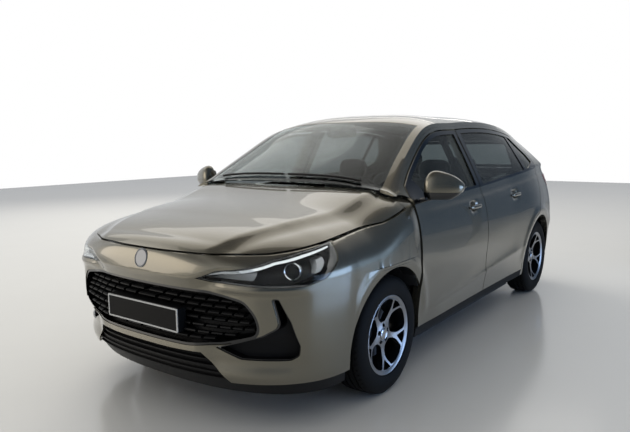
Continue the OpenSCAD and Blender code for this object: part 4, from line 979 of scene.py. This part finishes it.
def at_wheel(source, name, x, sgn, materials, body, nodes=None, pick=None, angle=32):
    """A copy of a wheel piece made round Z, turned to face the car's side."""
    mesh = source.data.copy()
    turn_out = Matrix.Rotation(math.radians(-90 if sgn > 0 else 90), 4, "X")
    mesh.transform(Matrix.Translation((x, sgn * WHEEL_Y, TYRE_R)) @ turn_out)
    piece = link(name, mesh)
    mesh.materials.clear()
    for m in materials:
        mesh.materials.append(m)
    if pick:
        for f in mesh.polygons:
            f.material_index = pick(sgn * (f.center.y) - WHEEL_Y, f.normal.y * sgn, math.hypot(f.center.x - x, f.center.z - TYRE_R))
    mesh.shade_smooth()
    mesh.set_sharp_from_angle(angle=math.radians(angle))
    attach(piece, body)
    if nodes:
        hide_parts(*nodes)
    return piece


for where, x in (("front", FRONT), ("rear", REAR)):
    for sgn, hand in ((1, "left"), (-1, "right")):
        body = f"{hand}_{where}_wheel"
        tag = f"{hand}_{where}"
        at_wheel(spoked, tag + "_spokes", x, sgn, [dark_alloy, alloy], body, [tag + "_rim"],
                 lambda out, n, r: 1 if n > 0.75 and not (r < 0.062 and out < 0.0505) and out > 0.0445 else 0)
        at_wheel(ring, tag + "_barrel", x, sgn, [dark_alloy, alloy], body, None, lambda out, n, r: 1 if out > 0.0775 else 0)
        at_wheel(disc, tag + "_brake_disc", x, sgn, [cast], body)
        at_wheel(hub, tag + "_hub_cap", x, sgn, [chrome], body)
        at_wheel(nuts, tag + "_wheel_nuts", x, sgn, [chrome], body)
        at_wheel(tyre_obj, tag + "_tyre_skin", x, sgn, [rubber], body, [tag + "_tyre"])
        calliper_body = f"{hand}_knuckle_body" if where == "front" else "body"
        a = np.linspace(math.radians(150), math.radians(210), 12) if where == "front" else np.linspace(math.radians(-30), math.radians(30), 12)
        r0, r1 = 0.084, 0.142
        arc = [(x + r1 * math.cos(q), TYRE_R + r1 * math.sin(q)) for q in a] + [(x + r0 * math.cos(q), TYRE_R + r0 * math.sin(q)) for q in a[::-1]]
        ys = sorted((sgn * (WHEEL_Y - 0.032), sgn * (WHEEL_Y + 0.010)))
        slot_y = sorted((sgn * (WHEEL_Y - 0.0205), sgn * (WHEEL_Y + 0.0025)))
        gap_ring = prism(circle(x, TYRE_R, 0.1335), slot_y[0], slot_y[1], "side")
        one(tag + "_calliper", prism(soft(arc, 0.008), ys[0], ys[1], "side"), cast, calliper_body, [], [gap_ring])
for spare in (spoked, ring, disc, hub, nuts, tyre_obj):
    bpy.data.objects.remove(spare)
print("wheels")

# %% [markdown]
# ## Mirrors, wipers and sills
# The mirror heads are lofted shells in body colour over a black lower half and arm.

# %% Mirrors
def loft(name, rows):
    """A closed solid through rings of points, capped at both ends."""
    made = bmesh.new()
    rings = [[made.verts.new(q) for q in row] for row in rows]
    n = len(rings[0])
    for a, b in zip(rings[:-1], rings[1:]):
        for i in range(n):
            made.faces.new([a[i], a[(i + 1) % n], b[(i + 1) % n], b[i]])
    made.faces.new(rings[0][::-1])
    made.faces.new(rings[-1])
    bmesh.ops.recalc_face_normals(made, faces=made.faces)
    mesh = bpy.data.meshes.new(name)
    made.to_mesh(mesh)
    made.free()
    return outward(mesh)


mx, my = DOOR_F - 0.12, float(side_y(DOOR_F - 0.12, 0.965))
rows, lower_rows = [], []
turn = np.linspace(0, 2 * np.pi, 41)[:-1]
for y in np.linspace(0, 1, 29):
    bulge = (1 - abs(2 * y - 1) ** 3.2) ** 0.5
    deep = 0.005 + 0.070 * bulge * (1 - 0.62 * y)
    tall = 0.005 + 0.106 * bulge * (1 - 0.62 * y**1.3)
    cy, cz, cx = my + 0.016 + 0.2055 * y, 1.046 + 0.006 * y, mx + 0.012 - 0.045 * y
    c, s = np.cos(turn), np.sin(turn)
    front_x = np.where(c > 0, np.abs(c) ** 0.9 * deep, -np.abs(c) ** 0.35 * 0.030)
    rows.append(np.stack([cx + front_x, 0 * c + cy, cz + np.sign(s) * np.abs(s) ** 0.85 * tall], -1).tolist())
cap = loft("cap", rows)
both("{}_mirror_cap", cap, paint, "{}_front_door_body", [prism([(mx - 0.3, 1.024), (mx + 0.3, 1.024), (mx + 0.3, 1.2), (mx - 0.3, 1.2)], 0.7, 1.2, "side")], [],
     ["{}_mirror"])
rows2 = [[(q[0], q[1] - 0.004, q[2]) for q in row] for row in rows]
both("{}_mirror_base", loft("base", rows2), gloss_black, "{}_front_door_body",
     [prism([(mx - 0.3, 0.984), (mx + 0.3, 0.984), (mx + 0.3, 1.0225), (mx - 0.3, 1.0225)], 0.7, 1.2, "side")])
oval = soft([(my + 0.035, 1.0), (my + 0.185, 1.012), (my + 0.19, 1.075), (my + 0.05, 1.112)], 0.025)
both("{}_mirror_glass", prism(oval, mx - 0.052, mx - 0.047, "front"), chrome, "{}_front_door_body")
arm = []
for k in np.linspace(0, 1, 9):
    cy, cz = my - 0.018 + 0.10 * k, 0.972 + 0.034 * k**1.4
    c, s = np.cos(turn), np.sin(turn)
    arm.append(np.stack([mx - 0.002 + (0.048 - 0.012 * k) * np.sign(c) * np.abs(c) ** 0.7, 0 * c + cy, cz + (0.0155 - 0.002 * k) * np.sign(s) * np.abs(s) ** 0.7], -1).tolist())
both("{}_mirror_arm", loft("arm", arm), gloss_black, "{}_front_door_body")
sail = [(DOOR_F - 0.004, belt(DOOR_F) - 0.012), (DOOR_F - 0.06, belt(DOOR_F) + 0.135), (DOOR_F - 0.12, belt(DOOR_F) + 0.135), (DOOR_F - 0.19, belt(DOOR_F) - 0.006)]
both("{}_mirror_sail", shell("sail", side_grid(DOOR_F - 0.25, DOOR_F, 0.93, 1.2, 0.01), 0.02, -0.002), gloss_black, "{}_front_door_body",
     [side(sail), side(grow(FRONT_DOOR, -0.001))])

# %% Wipers and sills
for k, (y0, y1) in enumerate(((-0.54, -0.02), (0.02, 0.54))):
    ys = np.linspace(y0, y1, 24)
    line = []
    for y in ys:
        x = COWL - 0.085
        v_at = y / float(curve(RAIL_Y, x))
        line.append(tuple(roof_pt(np.array(x), np.array(v_at)) + [0.004, 0, 0.011]))
    made = blade(f"wiper_blade_{k}", line, 0.016, 0.014, satin_black, "body")
    if k == 0:
        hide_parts("wipers")
both("{}_sill_trim", shell("sill", side_grid(REAR + 0.40, DOOR_F + 0.02, 0.212, 0.262, 0.012), 0.012, -0.001), grained, "body")
print("mirrors, wipers, sills")

# %% [markdown]
# ## The cabin
# Through the glass the photograph shows dark seats with headrests, a steering wheel on
# the car's left, and a dashboard. The seats are padded forms with raised side bolsters
# and sewn channels, set on the construction model's seats.

# %% Seats
def pad(name, centre, size, tilt, channels, bolster, body="body", power=5.0):
    """A crowned cushion: thin edges, raised sides and sewn channels, tilted about the Y axis."""
    n, m = 44, 30
    a, b = mesh_grid(np.linspace(-np.pi, np.pi, n + 1)[:-1], np.linspace(-np.pi / 2, np.pi / 2, m))
    ex = 2 / power
    q = lambda f: np.sign(f) * np.abs(f) ** ex
    p = np.stack([q(np.cos(b)) * q(np.cos(a)), q(np.cos(b)) * q(np.sin(a)), q(np.sin(b))], -1)
    crown = 1 - 0.10 * (p[..., 0] ** 2 + p[..., 1] ** 2)
    p[..., 2] *= crown
    top_side = p[..., 2] > 0
    side_up = bolster * smooth((np.abs(p[..., 1]) - 0.55) / 0.3)
    seams = sum(np.exp(-(((p[..., 0] - c) / 0.035) ** 2)) for c in channels) if channels else 0
    p[..., 2] += np.where(top_side, side_up - 0.10 * seams * (np.abs(p[..., 1]) < 0.62), 0)
    p = p * np.array(size) / 2
    made = bmesh.new()
    ring = [[made.verts.new(v) for v in row] for row in p]
    for r0, r1 in zip(ring[:-1], ring[1:]):
        for i in range(n):
            made.faces.new([r0[i], r0[(i + 1) % n], r1[(i + 1) % n], r1[i]])
    bmesh.ops.remove_doubles(made, verts=made.verts, dist=1e-4)
    bmesh.ops.recalc_face_normals(made, faces=made.faces)
    mesh = bpy.data.meshes.new(name)
    made.to_mesh(mesh)
    made.free()
    mesh.transform(Matrix.Translation(centre) @ Matrix.Rotation(math.radians(tilt), 4, "Y"))
    piece = one(name, outward(mesh), fabric, body, angle=60)
    return piece


FLOOR = 0.1953
first = None
for tag, sx, sy, width, places in (("left_front", 0.06, 0.37, 0.5, 1), ("right_front", 0.06, -0.37, 0.5, 1), ("rear_left", -0.645, 0.29, 0.56, 1), ("rear_right", -0.645, -0.29, 0.56, 1)):
    cushion = pad(tag + "_cushion", (sx - 0.01, sy, FLOOR + 0.215), (0.47, width, 0.17), -3, (-0.35, 0.1, 0.5), 0.18 if "front" in tag else 0.0)
    back = pad(tag + "_backrest", (sx - 0.36, sy, FLOOR + 0.53), (0.60, width * 0.96, 0.125), -104, (-0.5, -0.1, 0.3), 0.25 if "front" in tag else 0.0)
    head = pad(tag + "_headrest", (sx - 0.465, sy, FLOOR + 0.885), (0.17, 0.25, 0.085), -104, (), 0.0, power=3.2)
    if first is None:
        first = cushion
        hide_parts("seats")
    for dy in (-0.055, 0.055):
        one(f"{tag}_headrest_post_{'a' if dy < 0 else 'b'}", lathe("post", [(0, 0), (0.006, 0), (0.006, 0.12), (0, 0.12)], (sx - 0.425, sy + dy, FLOOR + 0.76), (-0.24, 0, 1), 16), chrome, "body")
    base = [(sx - 0.23, FLOOR + 0.001), (sx + 0.21, FLOOR + 0.001), (sx + 0.19, FLOOR + 0.14), (sx - 0.22, FLOOR + 0.14)]
    half = width / 2 - 0.03
    one(tag + "_seat_base", prism(soft(base, 0.02), sy - half, sy + half, "side"), grained, "body")
print("seats")

# %% Dashboard, steering wheel and linings
lo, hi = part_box("dashboard")
dash = [(lo.x, 0.74), (lo.x + 0.02, 0.70), (hi.x, 0.70), (hi.x, 0.93), (hi.x - 0.1, 0.938), (lo.x + 0.16, 0.925), (lo.x + 0.03, 0.885), (lo.x, 0.82)]
wheel_c = Vector((DOOR_F - 0.44, 0.37, 0.86))
well = [(lo.x - 0.01, 0.69), (lo.x + 0.11, 0.69), (lo.x + 0.11, 0.81), (lo.x - 0.01, 0.81)]
column_way = Matrix.Rotation(math.radians(-65), 4, "Y") @ Vector((0, 0, -1))
one("dashboard_skin", prism(soft(dash, 0.03), lo.y, hi.y, "side"), grained, "body", [],
    [prism(well, 0.12, 0.58, "side"), lathe("bore", [(0, -0.02), (0.034, -0.02), (0.034, 0.32), (0, 0.32)], wheel_c, column_way, 32)], ["dashboard"])
binnacle = [(lo.x + 0.02, 0.90), (lo.x + 0.02, 0.955), (lo.x + 0.05, 0.975), (lo.x + 0.15, 0.96), (lo.x + 0.2, 0.92)]
one("instrument_hood", prism(soft(binnacle, 0.015), 0.22, 0.52, "side"), satin_black, "body")
screen_box = [(-0.12, 0.85), (0.12, 0.85), (0.12, 0.985), (-0.12, 0.985)]
one("centre_screen", prism(soft(screen_box, 0.01), lo.x + 0.015, lo.x + 0.03, "front"), gloss_black, "body")
for k, y in enumerate((-0.56, 0.56, -0.2, 0.17)):
    one(f"air_vent_{k}", lathe("vent", [(0.028, 0), (0.036, 0), (0.036, 0.012), (0.028, 0.012)], (lo.x - 0.004, y * 0.98, 0.845), (1, 0, 0), 32), chrome, "body")
rim_profile = [(0.167 + 0.015 * math.cos(a), 0.013 * math.sin(a)) for a in np.linspace(0, 2 * math.pi, 14, endpoint=False)]
turn_w = column_way * -1
steer = one("steering_wheel_rim", lathe("rim", rim_profile, wheel_c, turn_w, 64), satin_black, "body", nodes=["steering_wheel"])
one("steering_boss", lathe("boss", [(0, -0.165), (0.031, -0.165), (0.031, -0.02), (0.062, -0.012), (0.066, 0.012), (0.05, 0.022), (0, 0.025)], wheel_c, turn_w, 48), grained, "body")
side_v = Vector((0, 1, 0))
down_v = turn_w.cross(side_v).normalized()
for k, d in enumerate((side_v, -side_v, down_v if down_v.z < 0 else -down_v)):
    blade(f"steering_spoke_{k}", [wheel_c + d * r - turn_w * 0.004 for r in np.linspace(0.05, 0.16, 5)], 0.03, 0.014, satin_black, "body")
for where, outline, window, x0, x1 in (("front", FRONT_DOOR, FRONT_WINDOW, SPLIT - 0.02, DOOR_F + 0.02), ("rear", REAR_DOOR, REAR_WINDOW, REAR - 0.16, SPLIT + 0.02)):
    inner_zone = [(x0 - 0.1, 0.29), (x1 + 0.1, 0.29)] + [(x, belt(x) - 0.012) for x in np.linspace(x1 + 0.1, x0 - 0.1, 10)]
    both("{}_" + where + "_door_card", shell("card", side_grid(x0, x1, 0.28, 1.1, 0.03, False), 0.006, 0.0485), grained, "{}_" + where + "_door_body",
         [side(grow(outline, -0.035)), side(inner_zone)])
xs = np.linspace(HEADER + 0.02, ROOF_END + 0.1, 50)
inner_roof = np.stack([roof_pt(xs, w) for w in np.linspace(-0.9, 0.9, 41)])
one("headliner", shell("liner", inner_roof, 0.006, 0.0205), lining, "body")
one("inner_mirror", prism(soft([(-0.11, 1.335), (0.11, 1.335), (0.115, 1.395), (-0.115, 1.395)], 0.02), 0.30, 0.325, "front"), satin_black, "body")
print("cabin")

# %% [markdown]
# ## What stays as built
# The floor, axles, engine block and exhaust keep the construction model's shape, which
# is right for parts seen only from below, and get materials of their own.

# %% Materials of the construction parts
for names, material in ((("underbody", "engine", "rear_axle", "front_subframe"), primer), (("exhaust",), steel),
                        (("left_knuckle", "right_knuckle"), cast)):
    for name in names:
        node = frame["nodes"].get(name)
        if node:
            node.data.materials.clear()
            node.data.materials.append(material)

# %% [markdown]
# ## Studio and camera
# A pale glossy floor under large soft lamps, and a white background that only the
# camera sees. The camera stands at the front left of the car at chest height.

# %% Studio
floor_mesh = mesh_of("floor", [(-16, -16, 0), (16, -16, 0), (16, 16, 0), (-16, 16, 0)], [(0, 1, 2, 3)])
floor = link("studio_floor", floor_mesh)
floor.data.materials.append(surface("studio_floor", "#bfbfbc", 0.0, 0.17, 0.0, 400, 0.03, IOR=2.0))
world = bpy.data.worlds.new("studio")
bpy.context.scene.world = world
world.use_nodes = True
tree = world.node_tree
tree.nodes.clear()
out = add(tree, "ShaderNodeOutputWorld")
place = add(tree, "ShaderNodeTexCoord")
split_xyz = add(tree, "ShaderNodeSeparateXYZ", [("Vector", place, "Generated")])
height = add(tree, "ShaderNodeMapRange", [("Value", split_xyz, "Z")])
height.inputs["From Min"].default_value = 0.5
height.inputs["From Max"].default_value = 0.85
walls = add(tree, "ShaderNodeMix", [("Factor", height, "Result")], data_type="RGBA")
walls.inputs[6].default_value = linear("#d2d4d6")
walls.inputs[7].default_value = linear("#4a4b4e")
left = add(tree, "ShaderNodeMapRange", [("Value", split_xyz, "Y")])
left.inputs["From Min"].default_value = -0.15
left.inputs["From Max"].default_value = 0.35
shade = add(tree, "ShaderNodeMix", [("Factor", left, "Result"), (6, walls, 2)], data_type="RGBA")
shade.inputs[7].default_value = linear("#3f5268")
glow = add(tree, "ShaderNodeBackground", [("Color", shade, 2)], in_Strength=1.0)
white = add(tree, "ShaderNodeBackground", in_Color=(1, 1, 1, 1), in_Strength=1.0)
path = add(tree, "ShaderNodeLightPath")
seen = add(tree, "ShaderNodeMath", [(0, path, "Is Camera Ray"), (1, path, "Is Transmission Ray")], operation="MAXIMUM")
pick_world = add(tree, "ShaderNodeMixShader", [("Fac", seen, "Value")])
tree.links.new(glow.outputs[0], pick_world.inputs[1])
tree.links.new(white.outputs[0], pick_world.inputs[2])
tree.links.new(pick_world.outputs[0], out.inputs["Surface"])


def lamp(name, at, to, size, watts, colour="#ffffff"):
    data = bpy.data.lights.new(name, "AREA")
    data.shape = "RECTANGLE"
    data.size, data.size_y = size
    data.energy = watts
    data.color = linear(colour)[:3]
    made = bpy.data.objects.new(name, data)
    bpy.context.scene.collection.objects.link(made)
    made.location = at
    made.rotation_euler = (Vector(to) - Vector(at)).to_track_quat("-Z", "Y").to_euler()
    return made


ceiling = lamp("ceiling", (0.0, 0.0, 7.0), (0.0, 0.0, 0), (22, 22), 1250, "#fffaf2")
ceiling.visible_glossy = False
key = lamp("key", (-3.5, -7.5, 6.0), (0.5, 0.0, 0.4), (6, 6), 620, "#fffaf2")
key.visible_glossy = False
lamp("overhead", (-1.0, -3.0, 5.2), (1.2, 0.0, 0.8), (9.0, 4.0), 88, "#fffaf2")
lamp("front", (6.3, -5.2, 2.4), (1.6, 0, 0.6), (6.0, 3.0), 95, "#fff3e4")
lamp("flank", (-0.4, 5.8, 0.95), (1.0, 0, 0.6), (6.0, 1.5), 128, "#b0d0ff")
lamp("streak_one", (-8.0, -5.2, 3.2), (1.4, 0, 0.9), (7.0, 0.16), 9, "#fffaf2")
lamp("streak_two", (-8.0, -3.2, 4.8), (1.4, 0, 0.9), (7.0, 0.16), 9, "#fffaf2")
flag = link("dark_flag", mesh_of("flag", [(-2.9, 2.1, 0), (-7.6, 3.9, 0), (-7.6, 3.9, 1.5), (-2.9, 2.1, 1.5)], [(0, 1, 2, 3)]))
flag.data.materials.append(surface("flag_cloth", "#2c3a49", 0.0, 0.9, 0.0, 300, 0.05))
flag.visible_camera = False

camera = bpy.data.objects.new("camera", bpy.data.cameras.new("camera"))
bpy.context.scene.collection.objects.link(camera)
bpy.context.scene.camera = camera
camera.location = (3.778, 2.314, 1.306)
yaw, pitch, roll = math.radians(-143.625), math.radians(-7.111), math.radians(0.573)
forward = Vector((math.cos(yaw) * math.cos(pitch), math.sin(yaw) * math.cos(pitch), math.sin(pitch)))
camera.rotation_euler = (forward.to_track_quat("-Z", "Y").to_matrix() @ Matrix.Rotation(-roll, 3, "Z")).to_euler()
camera.data.sensor_width = 36
camera.data.lens = 33.8
camera.data.clip_end = 100
bpy.context.scene.view_settings.view_transform = "Standard"
